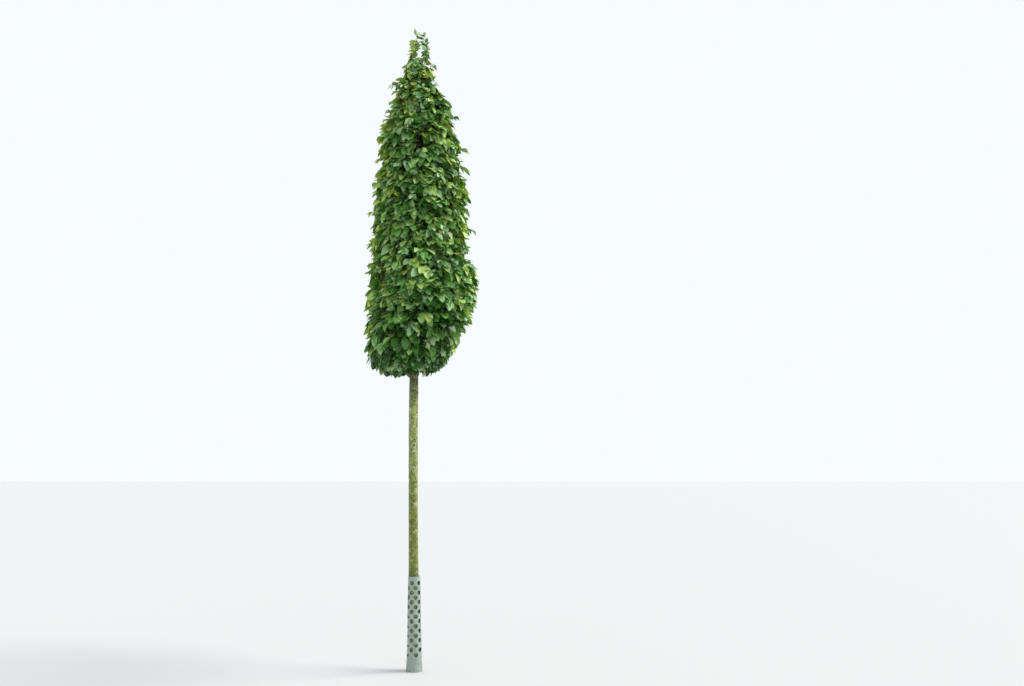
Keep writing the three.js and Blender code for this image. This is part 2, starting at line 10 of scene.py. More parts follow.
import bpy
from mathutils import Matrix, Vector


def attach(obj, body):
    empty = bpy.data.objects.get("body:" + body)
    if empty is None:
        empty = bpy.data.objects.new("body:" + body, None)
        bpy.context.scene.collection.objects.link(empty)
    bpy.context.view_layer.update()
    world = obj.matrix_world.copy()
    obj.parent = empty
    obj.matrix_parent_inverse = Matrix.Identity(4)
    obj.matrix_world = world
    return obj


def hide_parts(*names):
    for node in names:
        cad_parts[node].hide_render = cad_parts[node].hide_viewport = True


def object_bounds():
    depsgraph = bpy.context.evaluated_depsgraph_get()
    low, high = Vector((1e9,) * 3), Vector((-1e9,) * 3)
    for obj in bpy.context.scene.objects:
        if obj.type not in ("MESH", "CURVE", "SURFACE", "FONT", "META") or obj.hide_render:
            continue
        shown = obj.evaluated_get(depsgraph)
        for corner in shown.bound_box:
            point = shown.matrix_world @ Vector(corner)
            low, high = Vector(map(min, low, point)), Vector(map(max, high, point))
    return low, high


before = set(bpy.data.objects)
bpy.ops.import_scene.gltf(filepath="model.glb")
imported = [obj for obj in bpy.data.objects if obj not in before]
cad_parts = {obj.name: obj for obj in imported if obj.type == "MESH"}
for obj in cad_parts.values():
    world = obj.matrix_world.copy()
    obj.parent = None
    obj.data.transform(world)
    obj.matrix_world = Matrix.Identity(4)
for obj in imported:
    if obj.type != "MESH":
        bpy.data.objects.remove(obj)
cad_low, cad_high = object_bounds()
print("CAD box from", tuple(round(v, 3) for v in cad_low), "to", tuple(round(v, 3) for v in cad_high))

# %% Tools for numbers, shapes and meshes
import math

import bmesh
import bpy
import numpy as np
from mathutils import Matrix, Vector, noise

UP = Vector((0, 0, 1))
DOWN = -UP
# Points that lie closer together than this are one.
SEAM = 1e-6

# %% [markdown]
# The camera comes first, because every later choice of size and colour is judged through it. It
# stands at eye height and looks up a little, so the stem converges towards the top. A level camera
# with a vertical shift would keep it parallel, but the picture of the real tree doesn't.

# %% Camera
EYE_HEIGHT = 1.577
CAMERA_RIGHT = 0.6697
CAMERA_BACK = 6.948
CAMERA_PITCH = math.radians(5.54)
LENS_MM = 34.8

camera = bpy.data.objects.new("camera", bpy.data.cameras.new("camera"))
camera.data.lens = LENS_MM
camera.location = (CAMERA_RIGHT, -CAMERA_BACK, EYE_HEIGHT)
camera.rotation_euler = (math.pi / 2 + CAMERA_PITCH, 0, 0)
bpy.context.scene.collection.objects.link(camera)
bpy.context.scene.camera = camera
print("camera at eye height", EYE_HEIGHT, "m, lens", LENS_MM, "mm")

# %% [markdown]
# The sky behind the tree is white and overcast, so most light falls evenly from above and from all
# sides, and a broad soft sun gives the right edge its bright rim, which the leaves' painted light
# makes brighter still. A single hard lamp would make black holes between the leaves. The floor is a
# plain pale plane.

# %% Light and floor
SKY_COLOUR = (0.93, 0.97, 1.0, 1)
SKY_STRENGTH = 1.0
SUN_STRENGTH = 3.1
SUN_SOFTNESS = math.radians(30)
SUN_FROM = Vector((0.95, 0.05, 1.05))
FLOOR_SIZE = 30
FLOOR_COLOUR = (0.52, 0.52, 0.51)
FLOOR_ROUGHNESS = 0.8

world = bpy.data.worlds.new("overcast")
world.use_nodes = True
world.node_tree.nodes["Background"].inputs["Color"].default_value = SKY_COLOUR
world.node_tree.nodes["Background"].inputs["Strength"].default_value = SKY_STRENGTH
bpy.context.scene.world = world

sun = bpy.data.objects.new("soft_sun", bpy.data.lights.new("soft_sun", "SUN"))
sun.data.energy = SUN_STRENGTH
sun.data.angle = SUN_SOFTNESS
sun.rotation_euler = SUN_FROM.to_track_quat("Z", "Y").to_euler()
bpy.context.scene.collection.objects.link(sun)
bpy.context.scene.view_settings.view_transform = "Standard"


def object_of(name, shape):
    """A bmesh as a smooth shaded object at the origin."""
    mesh = bpy.data.meshes.new(name)
    shape.to_mesh(mesh)
    shape.free()
    mesh.shade_smooth()
    made = bpy.data.objects.new(name, mesh)
    bpy.context.scene.collection.objects.link(made)
    return made


def material_of(name, roughness, colour=(0.5, 0.5, 0.5)):
    """A material and its shader, with a plain colour."""
    material = bpy.data.materials.new(name)
    material.use_nodes = True
    shader = material.node_tree.nodes["Principled BSDF"]
    shader.inputs["Roughness"].default_value = roughness
    shader.inputs["Base Color"].default_value = (*colour, 1)
    return material, shader


floor_shape = bmesh.new()
bmesh.ops.create_grid(floor_shape, x_segments=1, y_segments=1, size=FLOOR_SIZE)
floor = object_of("floor", floor_shape)
floor.data.materials.append(material_of("floor_paint", FLOOR_ROUGHNESS, FLOOR_COLOUR)[0])
print("floor", 2 * FLOOR_SIZE, "m across")

# %% [markdown]
# The crown has to fill exactly the space that the frame's solids fill, so the source's rules are
# written again here: the lines of trunk and crown as rows of height and value, and a smooth cubic
# through them. `chance` gives a repeatable number for whatever its arguments count out. Python's
# random module would do too, but then one more leaf on one twig would change every twig after it.


# %% Number helpers
CHANCE_WEIGHTS = (127.1, 311.7, 74.7, 219.3, 91.9)
CHANCE_GAIN = 43758.5453


def chance(*counts):
    """A repeatable number from 0 to 1 for the thing that the arguments count out."""
    turns = sum((count + 1) * weight for count, weight in zip(counts, CHANCE_WEIGHTS))
    wave = math.sin(turns) * CHANCE_GAIN
    return wave - math.floor(wave)


def spread(*counts):
    """A repeatable number from -1 to 1."""
    return 2 * chance(*counts) - 1


def about(mean, swing, *counts):
    """A repeatable number that differs from the mean by up to the swing."""
    return mean + swing * spread(*counts)


def mix(start, end, share):
    return start + (end - start) * share


def ramp(value, start, end):
    """How far a value has come from start to end, kept from 0 to 1."""
    return min(max((value - start) / (end - start), 0), 1)


def smooth(rows, height, column=1):
    """A smooth value from rows of height and value, by a cubic through the rows beside it."""
    last = len(rows) - 1
    z = min(max(height, rows[0][0]), rows[last][0])
    i = 0
    while i < last - 1 and z > rows[i + 1][0]:
        i += 1

    def slope(a, b):
        return (rows[b][column] - rows[a][column]) / (rows[b][0] - rows[a][0])

    span = rows[i + 1][0] - rows[i][0]
    t = (z - rows[i][0]) / span
    before = slope(max(i - 1, 0), i + 1) * span
    after = slope(i, min(i + 2, last)) * span
    return (
        (2 * t**3 - 3 * t**2 + 1) * rows[i][column]
        + (t**3 - 2 * t**2 + t) * before
        + (3 * t**2 - 2 * t**3) * rows[i + 1][column]
        + (t**3 - t**2) * after
    )


print("first numbers dealt:", [round(chance(n), 3) for n in range(3)])

# %% Trunk lines
TRUNK_TIP = 4.17
# Height, then how far the trunk's middle leans to the right and to the back.
TRUNK_LINE = [
    (0.0, 0.0, 0.0),
    (0.64, -0.009, 0.003),
    (1.54, -0.020, 0.008),
    (1.96, -0.021, 0.008),
    (2.9, -0.015, -0.004),
    (3.68, -0.006, -0.008),
    (4.5, 0.006, 0.0),
]
# Height, then the radius of the wood.
TRUNK_GIRTH = [
    (0.0, 0.046),
    (0.09, 0.042),
    (0.24, 0.0385),
    (0.64, 0.034),
    (1.0, 0.0325),
    (1.9, 0.031),
    (2.5, 0.026),
    (3.2, 0.017),
    (3.8, 0.009),
    (TRUNK_TIP, 0.0045),
]
FLARE_LOBES = 5
FLARE_DEPTH = 0.07
FLARE_HEIGHT = 0.11


def trunk_middle(z):
    return Vector((smooth(TRUNK_LINE, z, 1), smooth(TRUNK_LINE, z, 2), z))


def trunk_radius(z):
    return smooth(TRUNK_GIRTH, z)


print("trunk", round(2000 * trunk_radius(1.0)), "mm thick at 1 m")

# %% Crown outline
# Height, then the crown's half width and how far its middle lies to the right.
CROWN_OUTLINE = [
    (1.995, 0.060, -0.062),
    (2.040, 0.166, -0.070),
    (2.090, 0.240, -0.060),
    (2.166, 0.294, -0.064),
    (2.272, 0.345, -0.032),
    (2.360, 0.390, 0.020),
    (2.480, 0.406, 0.041),
    (2.620, 0.398, 0.048),
    (2.850, 0.384, 0.042),
    (2.950, 0.346, 0.008),
    (3.060, 0.357, 0.020),
    (3.381, 0.334, 0.004),
    (3.540, 0.303, 0.008),
    (3.681, 0.311, 0.003),
    (3.814, 0.256, 0.005),
    (3.962, 0.226, 0.008),
    (4.081, 0.180, -0.016),
    (4.165, 0.132, -0.030),
    (4.215, 0.107, -0.008),
    (4.313, 0.082, 0.001),
    (4.440, 0.066, 0.002),
    (4.500, 0.036, 0.008),
]
CROWN_FOOT = CROWN_OUTLINE[0][0]
CROWN_TOP = CROWN_OUTLINE[-1][0]
CROWN_SWAY = 0.018
CROWN_SWAY_LENGTH = 0.42
CROWN_LOBES = 3
CROWN_LOBE_DEPTH = 0.03
CROWN_LOBE_TWIST = 3.5


def crown_middle(z):
    return Vector((smooth(CROWN_OUTLINE, z, 2), CROWN_SWAY * math.sin(z / CROWN_SWAY_LENGTH), z))


def crown_radius(z, turn):
    lobes = math.cos(CROWN_LOBES * turn + z * CROWN_LOBE_TWIST)
    return smooth(CROWN_OUTLINE, z) * (1 + CROWN_LOBE_DEPTH * lobes)


def level_way(turn):
    """The level unit vector in a direction round the crown."""
    return Vector((math.cos(turn), math.sin(turn), 0))


def squared(way, axis):
    """The unit vector nearest to a way that is square to an axis."""
    return (way - axis * way.dot(axis)).normalized()


def height_share(z):
    """How high a point lies in the crown, from 0 to 1."""
    return (z - CROWN_FOOT) / (CROWN_TOP - CROWN_FOOT)


def crown_point(z, turn, inset):
    """The point at a height, a direction round the crown and a distance inside its outline."""
    return crown_middle(z) + level_way(turn) * max(crown_radius(z, turn) - inset, 0)


def out_from(point):
    """How far a point lies from the crown's middle, and in which level direction."""
    offset = point - crown_middle(point.z)
    offset.z = 0
    return offset.length, math.atan2(offset.y, offset.x)


print("crown from", CROWN_FOOT, "to", CROWN_TOP, "m")

# %% [markdown]
# The boughs rise from the trunk in tiers, and each one ends where its own mass of twigs and leaves
# begins. The rows below say what the frame's solids were made from, so each mass's stem starts on
# the tip of its own bough. Reading the bough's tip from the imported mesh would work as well, but the
# rule also says where the stem goes next.

# %% Tiers and masses
# Tiers of foliage from the lowest: the height where each ends, how many masses it has, the direction
# of the first, how far under their tips its boughs leave the trunk, the boughs' radius at the foot,
# and the length of the frame's leaves, which sets how far inside the outline the twigs run.
TIERS = [
    {"top": 2.45, "count": 5, "turn": 0.35, "rise": 0.15, "bough": 0.013, "leaf": 0.175},
    {"top": 2.85, "count": 4, "turn": 1.0, "rise": 0.33, "bough": 0.012, "leaf": 0.185},
    {"top": 3.23, "count": 4, "turn": 0.15, "rise": 0.33, "bough": 0.0105, "leaf": 0.185},
    {"top": 3.59, "count": 4, "turn": 0.95, "rise": 0.30, "bough": 0.0085, "leaf": 0.17},
    {"top": 3.88, "count": 3, "turn": 0.3, "rise": 0.25, "bough": 0.0065, "leaf": 0.15},
    {"top": 4.11, "count": 2, "turn": 1.3, "rise": 0.15, "bough": 0.0045, "leaf": 0.105},
]
FLAT_INSIDE = 0.6
SHINGLE = 0.9
LEVEL_PASSES = 5
BOUGH_OUT = 0.34
BOUGH_UP = 0.2
BOUGH_SAG = 0.12
BOUGH_TAPER = 0.6
SEAT_GAP = 0.0003
STEM_INSET = 0.09
STEM_UP = 0.45


def level_point(level, turn, share):
    """The point on a tier's sloping level, at a share of the way to the outline."""
    z = level
    for _ in range(LEVEL_PASSES):
        z = level - SHINGLE * max(share, FLAT_INSIDE) * smooth(CROWN_OUTLINE, z)
    return crown_point(z, turn, (1 - share) * crown_radius(z, turn))


def bend(start, elbow, end, share):
    """The point at a share of a curve that bends once."""
    return start.lerp(elbow, share).lerp(elbow.lerp(end, share), share)


def mass_of(tier_number, index, number):
    tier = TIERS[tier_number]
    bottom = TIERS[tier_number - 1]["top"] if tier_number else CROWN_FOOT
    turn = 2 * math.pi * index / tier["count"] + tier["turn"]
    tip_height = mix(bottom, tier["top"], BOUGH_UP)
    tip = level_point(tip_height + SHINGLE * smooth(CROWN_OUTLINE, tip_height), turn, BOUGH_OUT)
    foot = trunk_middle(tip.z - tier["rise"])
    sag = foot.lerp(tip, 0.5) + DOWN * tier["rise"] * BOUGH_SAG
    ahead = (tip - sag).normalized()
    start = tip + ahead * SEAT_GAP
    end = crown_point(mix(bottom, tier["top"], STEM_UP), turn, STEM_INSET)
    elbow = start + ahead * (end - start).length / 3
    return {
        "number": number,
        "tier": tier_number,
        "turn": turn,
        "half_turn": math.pi / tier["count"],
        "bottom": bottom,
        "top": tier["top"],
        "leaf": tier["leaf"],
        "bough": (foot, sag, tip),
        "stem": (start, elbow, end),
        "radius": tier["bough"],
    }


masses = []
for tier_number, tier in enumerate(TIERS):
    for index in range(tier["count"]):
        masses.append(mass_of(tier_number, index, len(masses) + 1))
print(len(masses), "masses on boughs in", len(TIERS), "tiers, and one more at the top")

# %% [markdown]
# Bark on a young hornbeam is smooth but never even: the wood swells in long slow flutes like muscle,
# with pores, fine cracks and the healed scars of branches that were pruned from the clear stem. A
# bump map alone would leave the outline a ruler's edge. So a flat grid is rolled round the limb's
# path, each corner is moved in or out by the relief, and the material adds only the finest grain.

# %% Rolled limbs
FLUTES = ((3, 0.016, 2.1, 0.4), (5, 0.011, -3.7, 1.3), (2, 0.012, 5.3, 2.2))
COARSE_RELIEF = 0.0011
COARSE_SCALE = Vector((30, 30, 9))
FINE_RELIEF = 0.0005
FINE_SCALE = Vector((110, 110, 45))


def flute_share(turn, along):
    """How far the slow swellings stand out, as a share of the radius."""
    return sum(depth * math.cos(count * turn + twist * along + at) for count, depth, twist, at in FLUTES)


def grain(point):
    """The height of the bark's ripples at a point."""
    coarse = noise.noise(point * COARSE_SCALE)
    fine = noise.noise(point * FINE_SCALE)
    return coarse * COARSE_RELIEF + fine * FINE_RELIEF


def rolled(name, sides, rings, place):
    """A grid rolled into a closed limb. place(turn, share) puts each corner where it belongs."""
    shape = bmesh.new()
    bmesh.ops.create_grid(shape, x_segments=sides, y_segments=rings, size=0.5)
    for corner in shape.verts:
        corner.co = place(2 * math.pi * (corner.co.x + 0.5), corner.co.y + 0.5)
    bmesh.ops.remove_doubles(shape, verts=shape.verts, dist=SEAM)
    rims = [edge for edge in shape.edges if edge.is_boundary]
    bmesh.ops.holes_fill(shape, edges=rims, sides=sides + 1)
    bmesh.ops.recalc_face_normals(shape, faces=shape.faces)
    return object_of(name, shape)


# Scars of pruned branches: height, direction round the trunk, size.
SCARS = [(0.93, -1.1, 0.011), (1.21, -2.5, 0.009), (1.43, -0.6, 0.012), (1.62, 1.9, 0.010),
         (1.78, -1.9, 0.011), (1.32, 2.9, 0.009), (1.05, 0.7, 0.010), (1.90, -0.3, 0.008)]
SCAR_SQUAT = 0.75
SCAR_LIP = 0.0032
SCAR_HOLLOW = 0.0036
# Where the lip lies, how sharp it is and how wide the hollow is, in sizes of the scar.
SCAR_LIP_AT = 0.6
SCAR_LIP_SHARPNESS = 5
SCAR_HOLLOW_WIDTH = 0.5
# On wood thinner than this the relief fades out.
THIN_WOOD = 0.03


def scar_height(turn, z):
    """The raised lip and sunk middle of the scars near a place on the trunk."""
    height = 0
    for scar_z, scar_turn, size in SCARS:
        aside = math.remainder(turn - scar_turn, 2 * math.pi) * trunk_radius(z)
        far = math.hypot(aside, SCAR_SQUAT * (z - scar_z)) / size
        lip = SCAR_LIP * math.exp(-((far - SCAR_LIP_AT) ** 2) * SCAR_LIP_SHARPNESS)
        height += lip - SCAR_HOLLOW * math.exp(-((far / SCAR_HOLLOW_WIDTH) ** 2))
    return height


def trunk_place(turn, share):
    """A corner of the trunk's bark. The cut at the ground stays flat."""
    z = share * TRUNK_TIP
    radius = trunk_radius(z)
    lobes = FLARE_DEPTH * math.exp(-z / FLARE_HEIGHT) * math.cos(FLARE_LOBES * turn)
    thin = min(1, radius / THIN_WOOD)
    radius = radius * (1 + lobes + flute_share(turn, z)) + thin * scar_height(turn, z)
    point = trunk_middle(z) + level_way(turn) * radius
    return point + level_way(turn) * grain(point) * thin


TRUNK_SIDES = 56
TRUNK_RINGS = 620
trunk_bark = rolled("trunk_bark", TRUNK_SIDES, TRUNK_RINGS, trunk_place)
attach(trunk_bark, "root")
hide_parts("trunk")
print("trunk bark:", len(trunk_bark.data.polygons), "faces")

# %% Boughs
BOUGH_SIDES = 14
BOUGH_RINGS = 26
BOUGH_COLLAR = 0.35
BOUGH_COLLAR_LENGTH = 0.12
BOUGH_FLUTES = 2
BOUGH_GRAIN = 0.5
BOUGH_STEP = 0.01


def bough_place(mass):
    """The rule that places a corner of one bough, which has a collar where it leaves the trunk."""
    start, elbow, end = mass["bough"]
    across = level_way(mass["turn"] + math.pi / 2)

    def place(turn, share):
        after = bend(start, elbow, end, share + BOUGH_STEP)
        ahead = (after - bend(start, elbow, end, share - BOUGH_STEP)).normalized()
        side = squared(across, ahead)
        way = side * math.cos(turn) + side.cross(ahead) * math.sin(turn)
        radius = mass["radius"] * mix(1, BOUGH_TAPER, share)
        collar = BOUGH_COLLAR * math.exp(-share / BOUGH_COLLAR_LENGTH)
        radius *= 1 + collar + BOUGH_FLUTES * flute_share(turn, share)
        point = bend(start, elbow, end, share) + way * radius
        return point + way * grain(point) * BOUGH_GRAIN

    return place


bough_barks = []
for mass in masses:
    number = f"{mass['number']:02d}"
    piece = rolled("bough_bark_" + number, BOUGH_SIDES, BOUGH_RINGS, bough_place(mass))
    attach(piece, "root")
    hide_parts("bough_" + number)
    bough_barks.append(piece)
print(len(bough_barks), "boughs of", len(bough_barks[0].data.polygons), "faces")

# %% [markdown]
# A perforated plastic sheet is rolled round the foot of the trunk to keep off animals and mowers.
# Boolean cutters would leave ragged faces round eighty holes. Instead one cell is a ring of faces
# between a round hole and its share of the sheet, every second row lies half a cell over, and the
# sheet gets its wall and rounded rims only after it is rolled up and slit at the back.

# %% Guard
GUARD_HEIGHT = 0.636
GUARD_WALL = 0.0015
GUARD_COLUMNS = 10
GUARD_ROWS = 16
GUARD_HOLE = 0.030
GUARD_FIRST_ROW = 0.116
GUARD_LAST_ROW = 0.592
GUARD_SPLIT = 0.002
GUARD_RIM = 0.0004
GUARD_PITCH = (GUARD_LAST_ROW - GUARD_FIRST_ROW) / (GUARD_ROWS - 1)
GUARD_FOOT_STEPS = 6
GUARD_TOP_STEPS = 3
HOLE_CORNERS = 24
SHARP_EDGE = math.radians(50)
# The sheet's plain last strip is tucked in under its first holes, from the slit round to the right.
FLAP_START = 0.2
FLAP_END = -2.3
FLAP_DEPTH = 0.0025
FLAP_COLUMNS = 18
FLAP_ROWS = 24
GUARD_WAVES = ((2, 0.0011, 9.0, 0.5), (3, 0.0006, -14.0, 2.0))
# How near the sheet's corners are that count as one, and how near to a height those of the frame are.
GUARD_SEAM = 1e-5
CORNER_SPARE = 1e-4
# A cell's border has twelve parts: one from its right middle up to its corner, then four, two, four
# and one more round to the right middle again.
BORDER_PARTS = 12


def ring_of(node, height):
    """The middle and the radius of a CAD node's corners at one height."""
    corners = [v.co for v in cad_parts[node].data.vertices if abs(v.co.z - height) < CORNER_SPARE]
    low = Vector(min(c[axis] for c in corners) for axis in range(3))
    high = Vector(max(c[axis] for c in corners) for axis in range(3))
    return (low + high) / 2, (high.y - low.y) / 2


guard_foot, guard_foot_radius = ring_of("trunk_guard", 0)
guard_top, guard_top_radius = ring_of("trunk_guard", GUARD_HEIGHT)


def wrapped(column, z, depth=0):
    """The place on the rolled sheet at a count of columns round from the back, a height and a depth."""
    turn = math.pi / 2 + 2 * math.pi * column / GUARD_COLUMNS
    share = z / GUARD_HEIGHT
    radius = mix(guard_foot_radius, guard_top_radius, share) - depth
    radius += sum(deep * math.cos(n * turn + twist * z + at) for n, deep, twist, at in GUARD_WAVES)
    return Vector((*guard_foot.lerp(guard_top, share).xy, z)) + level_way(turn) * radius


def cell_corner(index):
    """A corner of a cell's square border, in halves of its width and height, counted as its hole's."""
    turn = 2 * math.pi * index / HOLE_CORNERS
    part = HOLE_CORNERS // BORDER_PARTS
    if part <= index <= 5 * part:
        return Vector((mix(1, -1, (index - part) / (4 * part)), 1, 0))
    if 7 * part <= index <= 11 * part:
        return Vector((mix(-1, 1, (index - 7 * part) / (4 * part)), -1, 0))
    steps = math.remainder(index, HOLE_CORNERS) if math.cos(turn) > 0 else HOLE_CORNERS // 2 - index
    return Vector((math.copysign(1, math.cos(turn)), steps / part, 0))


def add_cell(sheet, column, row_height):
    """One cell: a round hole and the faces between it and the cell's border."""
    hole = bmesh.ops.create_circle(sheet, segments=HOLE_CORNERS, radius=1)["verts"]
    hole_edges = list({edge for corner in hole for edge in corner.link_edges})
    border = bmesh.ops.duplicate(sheet, geom=hole + hole_edges)
    corners = [item for item in border["geom"] if isinstance(item, bmesh.types.BMVert)]
    border_edges = [item for item in border["geom"] if isinstance(item, bmesh.types.BMEdge)]
    for corner in corners:
        index = round(math.atan2(corner.co.y, corner.co.x) / (2 * math.pi) * HOLE_CORNERS) % HOLE_CORNERS
        at = cell_corner(index)
        corner.co = wrapped(column + at.x, row_height + at.y * GUARD_PITCH / 2)
    radius = mix(guard_foot_radius, guard_top_radius, row_height / GUARD_HEIGHT)
    width = 2 * math.pi * radius / GUARD_COLUMNS
    for corner in hole:
        across, up = corner.co.xy * GUARD_HOLE / 2
        corner.co = wrapped(column + across / width, row_height + up)
    bmesh.ops.bridge_loops(sheet, edges=hole_edges + border_edges)


def extend_rim(sheet, height, steps):
    """Draws the plain band from the nearest rim of the holed part to the sheet's edge."""
    below = height < GUARD_FIRST_ROW
    rim_height = GUARD_FIRST_ROW - GUARD_PITCH / 2 if below else GUARD_LAST_ROW + GUARD_PITCH / 2
    open_edges = [e for e in sheet.edges if e.is_boundary]
    rim = [e for e in open_edges if all(abs(v.co.z - rim_height) < GUARD_SEAM for v in e.verts)]
    for step in range(1, steps + 1):
        grown = bmesh.ops.extrude_edge_only(sheet, edges=rim)["geom"]
        z = mix(rim_height, height, step / steps)
        for corner in (item for item in grown if isinstance(item, bmesh.types.BMVert)):
            middle = guard_foot.lerp(guard_top, corner.co.z / GUARD_HEIGHT)
            turn = math.atan2(corner.co.y - middle.y, corner.co.x - middle.x)
            corner.co = wrapped((turn - math.pi / 2) * GUARD_COLUMNS / (2 * math.pi), z)
        rim = [item for item in grown if isinstance(item, bmesh.types.BMEdge)]


def slit_back(sheet):
    """Opens the narrow gap between the two edges of the rolled sheet."""
    for side in (-1, 1):
        back = [f for f in sheet.faces if f.calc_center_median().y > guard_foot.y]
        parts = back + list({e for f in back for e in f.edges}) + list({v for f in back for v in f.verts})
        at = Vector((guard_foot.x + side * GUARD_SPLIT / 2, 0, 0))
        bmesh.ops.bisect_plane(sheet, geom=parts, plane_co=at, plane_no=(1, 0, 0), dist=SEAM)
    gap = [
        f
        for f in sheet.faces
        if f.calc_center_median().y > guard_foot.y
        and abs(f.calc_center_median().x - guard_foot.x) < GUARD_SPLIT / 2
    ]
    bmesh.ops.delete(sheet, geom=gap, context="FACES")


sheet = bmesh.new()
for row in range(GUARD_ROWS):
    for hole_number in range(GUARD_COLUMNS // 2):
        row_height = mix(GUARD_FIRST_ROW, GUARD_LAST_ROW, row / (GUARD_ROWS - 1))
        add_cell(sheet, 2 * hole_number + (row + 1) % 2 + 0.5, row_height)
bmesh.ops.remove_doubles(sheet, verts=sheet.verts, dist=GUARD_SEAM)
extend_rim(sheet, 0, GUARD_FOOT_STEPS)
extend_rim(sheet, GUARD_HEIGHT, GUARD_TOP_STEPS)
slit_back(sheet)
bmesh.ops.recalc_face_normals(sheet, faces=sheet.faces)
guard_heart = guard_foot.lerp(guard_top, 0.5)
outward = sum(f.normal.dot(f.calc_center_median() - guard_heart) for f in sheet.faces)
if outward < 0:
    bmesh.ops.reverse_faces(sheet, faces=sheet.faces)
bmesh.ops.solidify(sheet, geom=list(sheet.faces), thickness=GUARD_WALL)
sharp = [e for e in sheet.edges if e.is_manifold and e.calc_face_angle() > SHARP_EDGE]
bmesh.ops.bevel(sheet, geom=sharp, offset=GUARD_RIM, segments=2, profile=0.5, affect="EDGES", material=-1)
bmesh.ops.recalc_face_normals(sheet, faces=sheet.faces)
guard = object_of("rolled_guard", sheet)

flap_shape = bmesh.new()
bmesh.ops.create_grid(flap_shape, x_segments=FLAP_COLUMNS, y_segments=FLAP_ROWS, size=0.5)
for corner in flap_shape.verts:
    column = mix(FLAP_END, FLAP_START, corner.co.x + 0.5)
    corner.co = wrapped(column, GUARD_HEIGHT * (corner.co.y + 0.5), FLAP_DEPTH)
bmesh.ops.recalc_face_normals(flap_shape, faces=flap_shape.faces)
bmesh.ops.solidify(flap_shape, geom=list(flap_shape.faces), thickness=GUARD_WALL)
bmesh.ops.recalc_face_normals(flap_shape, faces=flap_shape.faces)
guard_flap = object_of("rolled_guard_flap", flap_shape)
for piece in (guard, guard_flap):
    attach(piece, "root")
    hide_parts("trunk_guard")
print("guard:", len(guard.data.polygons), "faces round", GUARD_ROWS * GUARD_COLUMNS // 2, "holes")

# %% [markdown]
# Twigs are the crown's own scaffold. Each mass has a stem, the stem has twigs that run out to the
# outline and climb along it, and each twig has shoots that carry the leaves. The frame has four
# twigs a mass; here the same rule deals out more lanes and goes on to finer shoots. The curves are
# gathered as lists of points first, and one array call turns thousands of them into tubes.


# %% Paths of twigs
STEM_TIP_RADIUS = 0.003
STEM_POINTS = 7
STEM_SIDES = 6
TWIG_LANES = 13
LANE_SWING = 0.7
TWIG_POINTS = 13
TWIG_SIDES = 5
TWIG_RADIUS = (0.0038, 0.0013)
TWIG_FIRST = 0.05
TWIG_LAST = 0.98
# How far inside the outline the twigs climb, and the most of a narrow crown's half width.
TWIG_DEPTHS = (0.075, 0.10, 0.14, 0.19)
TWIG_DEPTH_MOST = 0.45
TWIG_ROOM = 0.085
TWIG_ROOM_SWING = 0.05
TWIG_WANDER = 0.022
TWIG_LEAST_WIDTH = 0.1
TWIG_BEND = 0.55
TWIG_BEHIND = 0.4
TWIG_PAST = 0.02
GOLDEN_SHARE = 0.618


def through(points, count):
    """Points evenly along a smooth curve through a few given ones."""
    ends = [points[0] * 2 - points[1], *points, points[-1] * 2 - points[-2]]
    curve = []
    for step in range(count):
        place = step / (count - 1) * (len(points) - 1)
        i = min(int(place), len(points) - 2)
        t = place - i
        a, b, c, d = ends[i : i + 4]
        square = 2 * a - 5 * b + 4 * c - d
        cube = 3 * b - a - 3 * c + d
        curve.append((2 * b + (c - a) * t + square * t**2 + cube * t**3) / 2)
    return curve


def stem_path(mass):
    return [bend(*mass["stem"], step / (STEM_POINTS - 1)) for step in range(STEM_POINTS)]


def twig_path(mass, lane):
    """One twig: it leaves the stem, runs out to the outline and climbs behind the tier above."""
    number = mass["number"]
    aside = about(2 * lane + 1, LANE_SWING, number, lane, 1) / TWIG_LANES - 1
    turn = mass["turn"] + aside * mass["half_turn"]
    share = mix(TWIG_FIRST, TWIG_LAST, (lane * GOLDEN_SHARE) % 1)
    depth = TWIG_DEPTHS[lane % len(TWIG_DEPTHS)]
    inset = min(depth, TWIG_DEPTH_MOST * smooth(CROWN_OUTLINE, mass["top"]))
    behind = mass["leaf"] * TWIG_BEHIND
    low = mass["bottom"] + TWIG_ROOM + TWIG_ROOM_SWING * chance(number, lane, 2)
    corners = [bend(*mass["stem"], share)]
    climbs = ((low, 0), (mix(low, mass["top"], TWIG_BEND), 0), (mass["top"] + TWIG_PAST, behind))
    for step, (z, back) in enumerate(climbs):
        half_width = max(smooth(CROWN_OUTLINE, z), TWIG_LEAST_WIDTH)
        wander = TWIG_WANDER * spread(number, lane, 3, step) / half_width
        corners.append(crown_point(z + SHINGLE * back, turn + wander, inset + back))
    return through(corners, TWIG_POINTS)


print("a twig has", TWIG_POINTS, "points, and a mass has", TWIG_LANES, "lanes of them")

# %% Twigs under the crown
SKIRT_LANES = 5
# Where on the stem a skirt twig starts, and the two places that it goes to: how far from the
# trunk, how high, and by how much that differs.
SKIRT_FROM = 0.1
SKIRT_FROM_SWING = 0.15
SKIRT_REACH = (0.12, 0.048)
SKIRT_REACH_SWING = 0.35
SKIRT_HEIGHT = (2.18, 2.12)
SKIRT_HEIGHT_SWING = 0.02
SKIRT_TWIST = 0.5
SKIRT_TWIST_FROM = 2.1


